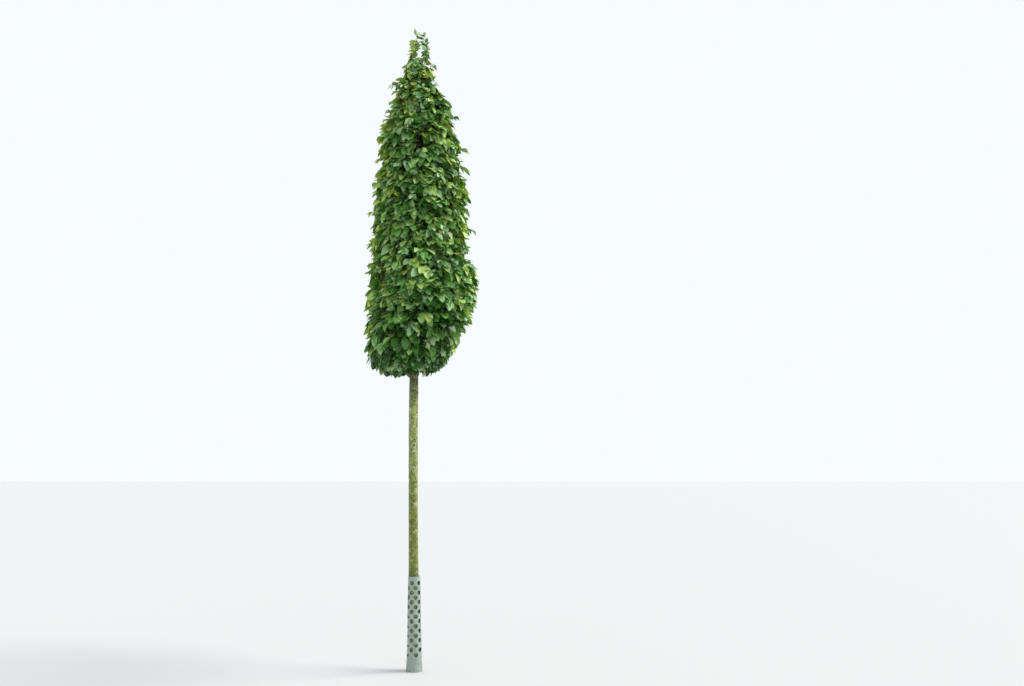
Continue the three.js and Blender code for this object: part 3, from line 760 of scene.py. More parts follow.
def skirt_path(mass, lane):
    """A short twig of the lowest tier that bends down by the trunk and closes the crown's foot."""
    number = mass["number"]
    turn = mass["turn"] + ((2 * lane + 1) / SKIRT_LANES - 1) * mass["half_turn"]
    corners = [bend(*mass["stem"], SKIRT_FROM + SKIRT_FROM_SWING * chance(number, lane, 20))]
    for reach, z in zip(SKIRT_REACH, SKIRT_HEIGHT):
        nearer = reach * about(1, SKIRT_REACH_SWING, number, lane, 21)
        height = about(z, SKIRT_HEIGHT_SWING, number, lane, 22)
        way = level_way(turn + SKIRT_TWIST * (z - SKIRT_TWIST_FROM))
        corners.append(trunk_middle(height) + way * nearer)
    return through(corners, TWIG_POINTS)


print(SKIRT_LANES, "more twigs close the underside of each lowest mass")

# %% [markdown]
# Shears leave a column even from afar, yet close by its surface is all clumps and hollows: a shoot
# that was cut back sprouts a fan of leaves, and beside it the view goes in to the dark. Slow noise
# decides how far the surface lies inside the outline, and where the outer shoots are missing, so
# the leaves behind show through. A few thin shoots have grown out since the last cut.

# %% The crown's surface
SKIN_RELIEF = 0.040
SKIN_CLUMP = 0.11
SKIN_CONTRAST = 1.1
SKIN_NARROW = 0.25
HOLE_CLUMP = 0.085
# How low the noise is where a shoot is missing: low in the crown, in its middle and in its spire.
HOLE_BELOW = ((2.1, -0.08), (2.35, -0.24), (2.8, -0.20), (3.7, -0.20), (4.0, -0.12), (4.2, -0.04))
HOLE_DEPTH = 0.115
HOLE_SHIFT = Vector((7, 3, 5))


def skin_inset(z, turn):
    """How far the leafy surface lies inside the outline at a place."""
    relief = SKIN_RELIEF * min(smooth(CROWN_OUTLINE, z) / SKIN_NARROW, 1)
    sway = noise.noise(crown_point(z, turn, 0) / SKIN_CLUMP)
    return relief * min(max(0.5 + SKIN_CONTRAST * sway, 0), 1)


def in_hole(point):
    """Whether an outer shoot is missing at a point, so that the view goes deeper."""
    reach, turn = out_from(point)
    radius = crown_radius(point.z, turn)
    outer = radius - reach < HOLE_DEPTH * min(radius / SKIN_NARROW, 1)
    below = smooth(HOLE_BELOW, point.z)
    return outer and noise.noise(point / HOLE_CLUMP + HOLE_SHIFT) < below


def kept_inside(point, spare):
    """The point, drawn in where it lies less than a spare distance inside the leafy surface."""
    reach, turn = out_from(point)
    inset = spare + skin_inset(point.z, turn)
    too_far = reach > crown_radius(point.z, turn) - inset
    return crown_point(point.z, turn, inset) if too_far else point


print("clumps of", round(1000 * SKIN_CLUMP), "mm stand out by up to", round(1000 * SKIN_RELIEF), "mm")

# %% Shoots
SHOOT_EVERY = 0.033
SHOOT_FROM = 0.12
SHOOT_LENGTH = (0.05, 0.125)
SHOOT_POINTS = 4
SHOOT_SIDES = 3
SHOOT_RADIUS = (0.0013, 0.0006)
# How far a shoot heads out, aside and up, and by how much that differs, and how far it follows
# its twig.
SHOOT_OUT = (0.55, 0.4)
SHOOT_ASIDE = (0.7, 0.4)
SHOOT_UP = (0.3, 0.45)
SHOOT_AHEAD = 0.3
SHOOT_SWING = 0.3
SHOOT_DROOP = 0.32
SHOOT_SPARE = 0.052
SHOOT_NARROW = 0.2
SHOOT_LEAST = 0.55
PATH_END = 0.999


def narrowness(z):
    """How much shorter and closer the shoots are where the crown is narrow."""
    return min(max(smooth(CROWN_OUTLINE, z) / SHOOT_NARROW, SHOOT_LEAST), 1)


def shoot_path(root, tangent, counts):
    """A shoot: out and aside from its twig, then bent down under its leaves."""
    out = level_way(out_from(root)[1])
    side = UP.cross(out)
    hand = 1 if counts[2] % 2 else -1
    ahead = out * about(*SHOOT_OUT, *counts, 4) + side * hand * about(*SHOOT_ASIDE, *counts, 5)
    ahead += UP * about(*SHOOT_UP, *counts, 6) + tangent * SHOOT_AHEAD
    ahead.normalize()
    length = mix(*SHOOT_LENGTH, chance(*counts, 7)) * narrowness(root.z)
    points = []
    for step in range(SHOOT_POINTS):
        share = step / (SHOOT_POINTS - 1)
        point = root + ahead * length * share + DOWN * SHOOT_DROOP * length * share**2
        points.append(kept_inside(point, SHOOT_SPARE * narrowness(point.z)))
    return points


def path_length(path):
    return sum((b - a).length for a, b in zip(path, path[1:]))


def on_path(path, share):
    """The point at a share of a path, and the way the path goes there."""
    place = min(share, PATH_END) * (len(path) - 1)
    i = int(place)
    return path[i].lerp(path[i + 1], place - i), (path[i + 1] - path[i]).normalized()


def shoots_on(twig, mass_number, lane):
    """The shoots of one twig, evenly spaced along it and turned to each side by turns."""
    count = int(path_length(twig) * (1 - SHOOT_FROM) / (SHOOT_EVERY * narrowness(twig[-1].z)))
    made = []
    for index in range(count):
        counts = (mass_number, lane, index)
        along = mix(SHOOT_FROM, 1, about(index + 0.5, SHOOT_SWING, *counts, 8) / count)
        root, tangent = on_path(twig, along)
        shoot = shoot_path(root, tangent, counts)
        if not in_hole(shoot[-1]):
            made.append((shoot, counts))
    return made


print("shoots are", SHOOT_LENGTH[0], "to", SHOOT_LENGTH[1], "m long")

# %% The tuft at the top
TOP_NUMBER = len(masses) + 1
TOP_STEM_END = 4.24
TOP_FORK = 4.20
TOP_STEM_RADIUS = 0.0045
TOP_TWIG_RADIUS = (0.0026, 0.0009)
TALL_LEADERS = 4
# How far up a leader, and how far out it stands there as a share of its reach.
LEADER_BOW = ((0.35, 0.75), (0.7, 1.1), (1.0, 1.0))
# Direction of each leader round the stem, the height of its tip, and how far out it stands there.
TOP_LEADERS = [
    (math.radians(176), 4.492, 0.030),
    (math.radians(4), 4.488, 0.034),
    (math.radians(150), 4.430, 0.050),
    (math.radians(-25), 4.425, 0.052),
    (math.radians(205), 4.380, 0.060),
    (math.radians(40), 4.370, 0.062),
    (math.radians(105), 4.290, 0.062),
    (math.radians(250), 4.285, 0.055),
    (math.radians(170), 4.270, 0.085),
    (math.radians(-5), 4.275, 0.078),
    (math.radians(290), 4.260, 0.080),
    (math.radians(70), 4.250, 0.085),
    (math.radians(225), 4.225, 0.100),
    (math.radians(130), 4.220, 0.100),
    (math.radians(20), 4.225, 0.095),
    (math.radians(-45), 4.215, 0.095),
]


def leader_path(turn, tip_height, reach):
    """A leader: it forks off the topmost stem and climbs almost straight to its own height."""
    foot_height = mix(TRUNK_TIP, TOP_FORK, chance(round(10 * turn), 1))
    foot = crown_middle(foot_height).lerp(trunk_middle(foot_height), 0.5)
    corners = [foot]
    for share, out in LEADER_BOW:
        height = mix(foot_height, tip_height, share)
        corners.append(crown_middle(height) + level_way(turn) * reach * out)
    return through(corners, TWIG_POINTS)


top_stem = [
    trunk_middle(TRUNK_TIP).lerp(crown_middle(TOP_STEM_END), step / (STEM_POINTS - 1))
    for step in range(STEM_POINTS)
]
top_twigs = [leader_path(*leader) for leader in TOP_LEADERS]
print(len(top_twigs), "leaders at the top")

# %% Shoots that the shears have missed
# Height, direction, how far it goes out from the surface and how far it rises.
LONG_SHOOTS = [
    (3.520, math.radians(-8), 0.040, -0.030),
    (3.870, math.radians(178), 0.012, 0.000),
    (4.190, math.radians(3), 0.020, -0.010),
]
STRAY_COUNT = 58
STRAY_FROM = 2.7
STRAY_TO = 4.3
STRAY_REACH = 0.016
STRAY_REACH_LEAST = 0.4
STRAY_RISE = 0.03
STRAY_NUMBER = TOP_NUMBER + 1
# A long shoot starts this deep, or at a share of a narrow crown's half width, and a little lower.
STRAY_DEEP = 0.10
STRAY_DEEP_MOST = 0.7
STRAY_DROP = 0.02
STRAY_BOW_AT = 0.6
STRAY_BOW = 0.015


def long_shoot(z, turn, reach, rise):
    """A shoot that starts deep under the surface and goes out past it."""
    deep = min(STRAY_DEEP, STRAY_DEEP_MOST * crown_radius(z, turn))
    start = crown_point(z - rise - STRAY_DROP, turn, deep)
    end = crown_point(z, turn, -reach)
    end.z = z + rise
    middle = start.lerp(end, STRAY_BOW_AT) + UP * STRAY_BOW
    return through([start, middle, end], SHOOT_POINTS + 2)


long_shoots = [long_shoot(*shoot) for shoot in LONG_SHOOTS]
for index in range(STRAY_COUNT):
    z = mix(STRAY_FROM, STRAY_TO, (index + chance(index, 30)) / STRAY_COUNT)
    turn = 2 * math.pi * index * GOLDEN_SHARE
    reach = STRAY_REACH * mix(STRAY_REACH_LEAST, 1, chance(index, 31))
    long_shoots.append(long_shoot(z, turn, reach, STRAY_RISE * spread(index, 32)))
print(len(long_shoots), "shoots stick out")

# %% [markdown]
# A hornbeam leaf is a pointed oval with a toothed edge, folded a little along its midrib and pleated
# along straight side veins. A few faces show its outline, its fold and the droop of its tip, and the
# material's bump shows the pleats. The leaves are a little larger than life, because there are fewer
# of them. Five leaf shapes are made from a small grid, and array arithmetic turns and places them
# thousands of times. A particle system would be quicker to set up, but a joined mesh survives every
# export.

# %% Leaf shapes
LEAF_ROWS = 7
# The share of the leaf's length with its stalk, and the half width there as a share of that length.
LEAF_OUTLINE = [
    (0.00, 0.012),
    (0.08, 0.018),
    (0.13, 0.08),
    (0.20, 0.165),
    (0.30, 0.23),
    (0.43, 0.268),
    (0.57, 0.272),
    (0.70, 0.238),
    (0.82, 0.160),
    (0.92, 0.076),
    (1.00, 0.0),
]
# How far the teeth stand out and in, and between which shares of the length the edge has them.
LEAF_TOOTH = 0.02
LEAF_TEETH = (0.2, 0.9)
LEAF_SEAM = 1e-4
LEAF_POSES = (
    {"fold": 0.16, "curl": 0.10, "twist": 0.05},
    {"fold": 0.32, "curl": 0.24, "twist": -0.15},
    {"fold": 0.06, "curl": 0.32, "twist": 0.12},
    {"fold": 0.24, "curl": -0.08, "twist": -0.05},
    {"fold": 0.75, "curl": 0.15, "twist": 0.10},
)
LEAF_POSE_ENDS = (0.26, 0.52, 0.72, 0.92, 1.0)


def leaf_shape(fold, curl, twist):
    """One leaf of length 1 along Y that faces up: its corners and its faces."""
    shape = bmesh.new()
    bmesh.ops.create_grid(shape, x_segments=2, y_segments=LEAF_ROWS, size=0.5)
    for corner in shape.verts:
        side = round(2 * corner.co.x)
        share = corner.co.y + 0.5
        toothed = LEAF_TEETH[0] < share < LEAF_TEETH[1]
        tooth = LEAF_TOOTH * (-1) ** round(share * LEAF_ROWS) * toothed
        wide = side * (smooth(LEAF_OUTLINE, share) + tooth)
        lift = fold * abs(wide) - curl * share**2 + twist * wide * share
        corner.co = Vector((wide, share, lift))
    bmesh.ops.remove_doubles(shape, verts=shape.verts, dist=LEAF_SEAM)
    bmesh.ops.triangulate(shape, faces=shape.faces)
    midrib = [edge for edge in shape.edges if all(abs(v.co.x) < SEAM for v in edge.verts)]
    bmesh.ops.split_edges(shape, edges=midrib)
    corners = np.array([v.co for v in shape.verts])
    faces = np.array([[v.index for v in f.verts] for f in shape.faces])
    shape.free()
    return corners, faces


LEAF_SHAPES = [leaf_shape(**pose) for pose in LEAF_POSES]
print("a leaf has", len(LEAF_SHAPES[0][1]), "faces")

# %% [markdown]
# Leaves in the shade of the crown are deep green, those further out have a bluish sheen of the sky,
# and those at the bright edges look lime green because light comes through them. The shader could
# let light through, but that would be lost in an export. So each spray gets a score from where it
# grows, and the score picks one of a few plain tints, which are painted shade, a painted sheen of the
# sky and painted light shining through. Single leaves differ by a step or two. Now and then a leaf
# shows its pale underside, which also serves as a painted sheen of the sky, and now and then one has
# withered.

# %% Tints
# The scored tints run from painted shade deep in the crown, through a painted bluish sheen of the sky, to
# painted light shining through at the bright edges.
SCORED_TINTS = ("shade", "deep", "middle", "blue", "sunlit", "bright", "lime")
TINT_STEPS = (0.04, 0.20, 0.38, 0.52, 0.68, 0.84)
ODD_TINTS = ("olive", "pale", "withered")
TINTS = SCORED_TINTS + ODD_TINTS
INNER_DEPTH = 0.16
# Young leaves near the top are still olive.
OLIVE_SHARES = (0.004, 0.12)
# Pale leaves show their underside, and they also serve as a painted sheen of the sky.
PALE_SHARE = 0.06
WITHERED_SHARE = 0.003
LEAF_VARIES = 0.33
# The painted lit rim lies to the right, at a turn of 0, and fades with height. The far rim, also
# painted light, is opposite.
RIM_WIDTH = 0.8
RIM_FADES = 1.2
FAR_RIM_WIDTH = 1.0
# Both rims are dark where the crown narrows to its foot.
RIM_HEIGHT = (2.12, 2.36)
TINT_CLUMP = 0.16
TINT_SHIFT = Vector((2, 9, 4))
# What a spray's score starts from, and what its place adds or takes away: the rims and the height
# add painted light, and the depth, the foot and the spire take it away as painted shade. Where there
# are two numbers, the second comes on top: at the crown's top for the far rim, at its foot for the
# depth, on the right rim for the clumps, and on both rims and at the foot for chance.
BASE_SCORE = 0.37
RIM_LIGHT = 0.62
FAR_RIM_LIGHT = (0.45, 0.08)
HEIGHT_LIGHT = 0.26
DEPTH_SHADE = (0.24, 0.28)
FOOT_SHADE = 0.03
SPIRE_SHADE = 0.18
STRAY_SHADE = 0.25
CLUMP_SWING = (0.11, 0.39)
CHANCE_SWING = (0.22, 0.10)


def spray_score(point, counts):
    """How light a spray is, from 0 to about 1: by its depth, its side, its height and by chance."""
    reach, turn = out_from(point)
    depth = min((crown_radius(point.z, turn) - reach) / INNER_DEPTH, 1)
    lit = ramp(point.z, *RIM_HEIGHT)
    foot = 1 - lit
    high = height_share(point.z)
    rim = lit * max(1 - RIM_FADES * high, 0) * max(1 - abs(turn) / RIM_WIDTH, 0)
    far_rim = lit * max(1 - (math.pi - abs(turn)) / FAR_RIM_WIDTH, 0)
    far_light = FAR_RIM_LIGHT[0] + FAR_RIM_LIGHT[1] * high
    # Painted light from the rims and the height, painted shade from the depth, the foot and the spire.
    score = BASE_SCORE + RIM_LIGHT * rim + far_light * far_rim + HEIGHT_LIGHT * high
    score -= (
        (DEPTH_SHADE[0] + DEPTH_SHADE[1] * foot) * depth
        + FOOT_SHADE * foot
        + SPIRE_SHADE * (point.z > TOP_STEM_END)
    )
    clump = noise.noise(point / TINT_CLUMP + TINT_SHIFT)
    score += (CLUMP_SWING[0] + CLUMP_SWING[1] * rim) * clump
    swing = CHANCE_SWING[0] + CHANCE_SWING[1] * (rim + far_rim + foot)
    return about(score, swing, *counts, 9)


def tint_of(score, z, counts):
    """The place in the list of tints for one leaf of a spray."""
    luck = chance(*counts, 17)
    if luck < WITHERED_SHARE:
        return TINTS.index("withered")
    if luck < WITHERED_SHARE + PALE_SHARE:
        return TINTS.index("pale")
    if luck < WITHERED_SHARE + PALE_SHARE + mix(*OLIVE_SHARES, height_share(z) ** 2):
        return TINTS.index("olive")
    own = about(score, LEAF_VARIES, *counts, 18)
    return sum(own > step for step in TINT_STEPS)


print(len(TINTS), "tints")

# %% Leaves on shoots
LEAF_LENGTH = 0.098
LEAF_LENGTH_TOP = 0.062
LEAF_SHRINKS_FROM = 3.85
LEAF_EVERY = 0.0195
LEAF_SPREAD = 0.17
# The first leaf of a shoot is smaller than the ones that follow, and so is the last.
LEAF_FOOT_SHARE = 0.62
LEAF_SWELL = 0.75
# Where the first leaf sits, in steps from one leaf to the next, and how many numbers each shoot has
# for its leaves in the count that chance works from.
LEAF_FIRST = 0.8
LEAVES_MOST = 16
LEAF_OUTSIDE = (0.0, 0.046)
LEAF_OUTSIDE_SKEW = 1.7
LEAF_HALF_WIDTH = 0.28
LEAF_SINKS = 0.7
BOX_SPARE = 0.024
LEAF_TRIES = 5
# The share of leaves that lie level, and are seen edge on: at the crown's foot and at its top.
LEVEL_SHARES = (0.12, 0.5)
# How far the tip of a level and of a steep leaf hangs, and how far its face looks up.
LEVEL_LEAF = (0.25, 1.0)
STEEP_LEAF = (0.75, 0.5)
# How far a leaf goes on ahead, out and aside from its shoot, how far its face looks out, and by how
# much each differs, then by how much its tip and its roll differ.
LEAF_AHEAD = (0.3, 0.3)
LEAF_OUT = (0.85, 0.4)
LEAF_ASIDE = (0.55, 0.4)
LEAF_FACE_OUT = (0.5, 0.35)
LEAF_TIP_SWING = 0.35
LEAF_ROLL = 0.8
# From the first height down to the second the leaves come to hang, with their faces out. They pass
# the outline a little, and are further apart.
HANGING = (2.40, 2.10)
HANGING_DOWN = 0.9
HANGING_OUTSIDE = 0.035
HANGING_SPARSE = 1.3
# From the first height up to the second they also come to be further apart.
OPEN_TOP = (3.5, 4.0)
OPEN_TOP_SPARSE = 0.55
STRAY_LEAF = 0.052
STRAY_OUTSIDE = (0.035, 0.075)
TRUNK_CLEAR = 0.012
ODD_SIZES = {"pale": 0.75, "withered": 0.42}
# On the tallest leaders: the leaves' length, how close they sit, how they are turned, and where the
# leader is bare.
LEADER_LEAF = (0.040, 0.064)
LEADER_LEAF_EVERY = 0.0075
LEADER_LEAF_RISE = (-0.5, 0.6)
LEADER_TIP_SWING = 0.7
LEADER_TURN_SWING = 0.1
LEADER_FACE_UP = 0.7
LEADER_FACE_OUT = 0.5
LEADER_BARE = 0.15
LEADER_CROWDS = 0.75
LEADER_OUTSIDE = 0.020
# The heights between which sky shows between the two tallest leaders.
LEADER_GAP = (4.325, 4.405)
LEADER_GAP_HALF = 0.010
LEADER_GAP_SHRINKS = 0.55
# Seen from the front, a hollow high in the crown shows a piece of the stem: its heights on the stem,
# half its width, and how far the view goes down and to the right for each metre in front of the stem.
HOLLOW = (3.64, 3.77)
HOLLOW_HALF = 0.028
HOLLOW_FALL = 0.32
HOLLOW_ASIDE = 0.097


def in_hollow(point):
    """Whether a point lies in the hollow in front of the stem."""
    level = point.z - HOLLOW_FALL * point.y
    if point.y > 0 or not HOLLOW[0] < level < HOLLOW[1]:
        return False
    return abs(point.x - trunk_middle(level).x + HOLLOW_ASIDE * point.y) < HOLLOW_HALF


def hanging_share(z):
    """How far the leaves at a height hang, from 0 to 1."""
    return ramp(z, *HANGING)


def full_length(z):
    """A full leaf's length at a height: leaves are smaller on the young shoots near the top."""
    return mix(LEAF_LENGTH, LEAF_LENGTH_TOP, ramp(z, LEAF_SHRINKS_FROM, CROWN_TOP))


def leaf_on(root, ahead, hand, length, counts):
    """One leaf as the three rows of its own axes: across, along its length, and its face."""
    out = level_way(out_from(root)[1])
    side = UP.cross(ahead)
    level = chance(*counts, 20) < mix(*LEVEL_SHARES, height_share(root.z))
    hang, lift = LEVEL_LEAF if level else STEEP_LEAF
    hang += HANGING_DOWN * hanging_share(root.z)
    along = ahead * about(*LEAF_AHEAD, *counts, 11) + out * about(*LEAF_OUT, *counts, 12)
    along += (
        side * hand * about(*LEAF_ASIDE, *counts, 13)
        + DOWN * about(hang, LEAF_TIP_SWING, *counts, 14)
    )
    along.normalize()
    face = (
        out * about(*LEAF_FACE_OUT, *counts, 15)
        + UP * about(lift, LEAF_TIP_SWING, *counts, 16)
    )
    face = squared(face + side * LEAF_ROLL * spread(*counts, 19), along)
    return Matrix((along.cross(face) * length, along * length, face * length))


def leaf_fits(root, leaf, pose, outside):
    """Whether a leaf's tip and sides stay near the leafy surface, and inside the frame's own box."""
    middle = root + leaf[1] * 0.5
    half = leaf[0] * LEAF_HALF_WIDTH
    tip = root + leaf[1] - leaf[2] * LEAF_POSES[pose]["curl"]
    for point in (tip, middle + half, middle - half):
        reach, turn = out_from(point)
        room = outside + HANGING_OUTSIDE * hanging_share(point.z)
        room -= LEAF_SINKS * skin_inset(point.z, turn)
        if reach > crown_radius(point.z, turn) + room or in_hollow(point):
            return False
        past = max(max(cad_low[axis] - point[axis], point[axis] - cad_high[axis]) for axis in range(2))
        if point.z < CROWN_FOOT or past > BOX_SPARE:
            return False
    return True


def leaves_of(shoot, counts, outside=LEAF_OUTSIDE, full=1.0):
    """The leaves of one shoot, as (root, axes, pose, tint)."""
    score = spray_score(shoot[-1], counts) - STRAY_SHADE * (counts[0] == STRAY_NUMBER)
    open_top = ramp(shoot[0].z, *OPEN_TOP)
    sparse = HANGING_SPARSE * hanging_share(shoot[0].z) + OPEN_TOP_SPARSE * open_top
    every = LEAF_EVERY * full * (1 + sparse)
    count = max(2, round(path_length(shoot) / every))
    made = []
    for index in range(count + 1):
        share = (index + LEAF_FIRST) / count
        root, ahead = on_path(shoot, share)
        if (root - trunk_middle(root.z)).xy.length < trunk_radius(root.z) + TRUNK_CLEAR:
            continue
        own = (*counts[:2], counts[2] * LEAVES_MOST + index)
        tint = tint_of(score, root.z, own)
        young = mix(LEAF_FOOT_SHARE, 1, math.sin(math.pi * min(share * LEAF_SWELL, 1)))
        young = mix(young, 1, hanging_share(root.z))
        size = full * full_length(root.z) * young * about(1, LEAF_SPREAD, *own, 23)
        size *= ODD_SIZES.get(TINTS[tint], 1)
        pose = sum(chance(*own, 24) > end for end in LEAF_POSE_ENDS[:-1])
        past = mix(*outside, chance(*own, 25) ** LEAF_OUTSIDE_SKEW)
        for attempt in range(LEAF_TRIES):
            leaf = leaf_on(root, ahead, 1 if index % 2 else -1, size, (*own, attempt))
            if leaf_fits(root, leaf, pose, past):
                made.append((root, leaf, pose, tint))
                break
    return made


def in_leader_gap(point):
    """Whether a point lies in the gap of sky between the two tallest leaders."""
    aside = (point - crown_middle(point.z)).x
    return LEADER_GAP[0] < point.z < LEADER_GAP[1] and abs(aside) < LEADER_GAP_HALF


def leader_leaves(path, number):
    """Leaves set straight on a leader, each turned on from the one under it, with the gap open."""
    count = round(path_length(path) / LEADER_LEAF_EVERY)
    made = []
    for index in range(count):
        share = mix(LEADER_BARE, 1, ((index + 0.5) / count) ** LEADER_CROWDS)
        own = (TOP_NUMBER, number, index)
        root, ahead = on_path(path, share)
        turns = about(index * GOLDEN_SHARE, LEADER_TURN_SWING, *own, 33)
        out = level_way(2 * math.pi * turns + number)
        rise = about(mix(*LEADER_LEAF_RISE, share), LEADER_TIP_SWING, *own, 34)
        along = (out + UP * rise).normalized()
        face = UP * LEADER_FACE_UP + out * LEADER_FACE_OUT * spread(*own, 35)
        face = squared(face + UP.cross(out) * spread(*own, 36), along)
        size = mix(*LEADER_LEAF, chance(*own, 37))
        leaf = Matrix((along.cross(face) * size, along * size, face * size))
        if in_leader_gap(root + leaf[1]):
            leaf *= LEADER_GAP_SHRINKS
        pose = index % (len(LEAF_POSES) - 1)
        if not in_leader_gap(root + leaf[1]) and leaf_fits(root, leaf, pose, LEADER_OUTSIDE):
            made.append((root, leaf, pose, tint_of(spray_score(root, own), root.z, own)))
    return made


print("full leaves are", LEAF_LENGTH, "m long, and", LEAF_LENGTH_TOP, "m at the top")

# %% Arrays into meshes


def object_from(name, corners, faces):
    """A smooth shaded object from arrays of corners and faces."""
    mesh = bpy.data.meshes.new(name)
    mesh.from_pydata(np.concatenate(corners), [], np.concatenate(faces))
    mesh.shade_smooth()
    made = bpy.data.objects.new(name, mesh)
    bpy.context.scene.collection.objects.link(made)
    return made


def joined_leaves(name, leaves):
    """All the given leaves as one mesh, with each leaf's tint as its material and its own UV map."""
    corners, faces, tints, maps = [], [], [], []
    start = 0
    for pose, (shape, shape_faces) in enumerate(LEAF_SHAPES):
        chosen = [leaf for leaf in leaves if leaf[2] == pose]
        if not chosen:
            continue
        roots = np.array([leaf[0] for leaf in chosen])
        axes = np.array([leaf[1] for leaf in chosen])
        placed = np.einsum("vk,nkc->nvc", shape, axes) + roots[:, None, :]
        corners.append(placed.reshape(-1, 3))
        starts = start + len(shape) * np.arange(len(chosen))
        faces.append((shape_faces[None] + starts[:, None, None]).reshape(-1, 3))
        tints.append(np.repeat([leaf[3] for leaf in chosen], len(shape_faces)))
        own_map = shape[shape_faces.reshape(-1)][:, :2] + (0.5, 0)
        maps.append(np.tile(own_map, (len(chosen), 1)))
        start += len(shape) * len(chosen)
    made = object_from(name, corners, faces)
    leaf_map = made.data.uv_layers.new(name="leaf")
    leaf_map.data.foreach_set("uv", np.concatenate(maps).astype(np.float32).ravel())
    made.data.polygons.foreach_set("material_index", np.concatenate(tints).astype(np.int32))
    return made


def tube_arrays(paths, radii, sides):
    """Corners and faces of a tube round each path. All the paths have the same number of points."""
    points = np.array(paths, float)
    ahead = np.gradient(points, axis=1)
    ahead /= np.linalg.norm(ahead, axis=2, keepdims=True)
    least = np.argmin(np.abs(ahead).mean(axis=1), axis=1)
    side = np.cross(ahead, np.eye(3)[least][:, None, :])
    side /= np.linalg.norm(side, axis=2, keepdims=True)
    other = np.cross(ahead, side)
    turns = 2 * np.pi * np.arange(sides) / sides
    ring = side[:, :, None] * np.cos(turns)[:, None] + other[:, :, None] * np.sin(turns)[:, None]
    corners = points[:, :, None] + ring * np.linspace(*radii, points.shape[1])[:, None, None]
    count, rows = points.shape[:2]
    base = (np.arange(count) * rows * sides)[:, None, None] + (np.arange(rows - 1) * sides)[:, None]
    here = np.arange(sides)
    after = (here + 1) % sides
    quads = np.stack([base + here, base + after, base + after + sides, base + here + sides], axis=-1)
    return corners.reshape(-1, 3), quads.reshape(-1, 4)


def joined_tubes(name, groups):
    """Tubes of several thicknesses as one mesh. A group is its paths, its two radii and its sides."""
    corners, faces = [], []
    start = 0
    for paths, radii, sides in groups:
        made_corners, made_faces = tube_arrays(paths, radii, sides)
        corners.append(made_corners)
        faces.append(made_faces + start)
        start += len(made_corners)
    return object_from(name, corners, faces)


# %% [markdown]
# Each tier becomes two pieces, one of twigs and one of leaves, which together stand for the frame's
# masses of that tier. One piece for the whole crown would be simpler, but too large a mesh to export
# well.

# %% Grow the tiers
leaf_pieces = []
twig_pieces = []


def finish_tier(name, nodes, tubes, leaves):
    """Makes a tier's two pieces, hangs them on the root and hides the frame's solids that they stand for.
    """
    for piece, slot_name, kept in (
        (joined_tubes("twigs_" + name, tubes), "bark", twig_pieces),
        (joined_leaves("leaves_" + name, leaves), "leaves", leaf_pieces),
    ):
        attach(piece, "root")
        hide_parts(*nodes)
        kept.append(piece)
    print(name, "has", len(leaves), "leaves on", sum(len(paths) for paths, _, _ in tubes), "twigs")


def shoots_and_leaves(twigs, number):
    """The shoots of some twigs of one mass, and the leaves of those shoots."""
    grown = [shoot for lane, twig in enumerate(twigs) for shoot in shoots_on(twig, number, lane)]
    leaves = [leaf for shoot, counts in grown for leaf in leaves_of(shoot, counts)]
    return [shoot for shoot, _ in grown], leaves


def stray_leaves(low, high):
    """The long shoots that start between two heights, and their small leaves."""
    chosen = [(n, path) for n, path in enumerate(long_shoots) if low <= path[0].z < high]
    leaves = []
    for n, path in chosen:
        full = 1.0 if n == 0 else STRAY_LEAF / full_length(path[0].z)
        leaves += leaves_of(path, (STRAY_NUMBER, n, 0), STRAY_OUTSIDE, full)
    return [path for _, path in chosen], leaves


for tier_number, tier in enumerate(TIERS):
    members = [mass for mass in masses if mass["tier"] == tier_number]
    stems, twigs, shoots, leaves = [], [], [], []
    for mass in members:
        stems.append(stem_path(mass))
        own_twigs = [twig_path(mass, lane) for lane in range(TWIG_LANES)]
        if tier_number == 0:
            own_twigs += [skirt_path(mass, lane) for lane in range(SKIRT_LANES)]
        own_shoots, own_leaves = shoots_and_leaves(own_twigs, mass["number"])
        twigs += own_twigs
        shoots += own_shoots
        leaves += own_leaves
    strays, small_leaves = stray_leaves(members[0]["bottom"], tier["top"])
    tubes = [
        (stems, (members[0]["radius"] * BOUGH_TAPER, STEM_TIP_RADIUS), STEM_SIDES),
        (twigs, TWIG_RADIUS, TWIG_SIDES),
        (shoots, SHOOT_RADIUS, SHOOT_SIDES),
    ]
    if strays:
        tubes.append((strays, SHOOT_RADIUS, SHOOT_SIDES))
    nodes = [f"foliage_{mass['number']:02d}" for mass in members]
    finish_tier(f"tier_{tier_number + 1}", nodes, tubes, leaves + small_leaves)

top_shoots, top_leaves = shoots_and_leaves(top_twigs[TALL_LEADERS:], TOP_NUMBER)
for number, path in enumerate(top_twigs[:TALL_LEADERS]):
    top_leaves += leader_leaves(path, number)
strays, small_leaves = stray_leaves(TIERS[-1]["top"], CROWN_TOP)
top_tubes = [
    ([top_stem], (TOP_STEM_RADIUS, STEM_TIP_RADIUS), STEM_SIDES),
    (top_twigs, TOP_TWIG_RADIUS, TWIG_SIDES),
    (top_shoots, SHOOT_RADIUS, SHOOT_SIDES),
    (strays, SHOOT_RADIUS, SHOOT_SIDES),
]
finish_tier("top", ["foliage_top"], top_tubes, top_leaves + small_leaves)

# %% [markdown]
# A colour map over thousands of joined leaves would tear in an export, so each tint is one plain
# colour, and the pattern goes only into the bump and the roughness. The pleats are worked out from
# the leaf's own map: straight lines that slant from the midrib towards the tip.


# %% Leaf materials
def linear(red, green, blue):
    """A colour given as on a screen, from 0 to 255, in the renderer's own linear numbers."""
    return tuple(((part / 255 + 0.055) / 1.055) ** 2.4 for part in (red, green, blue))


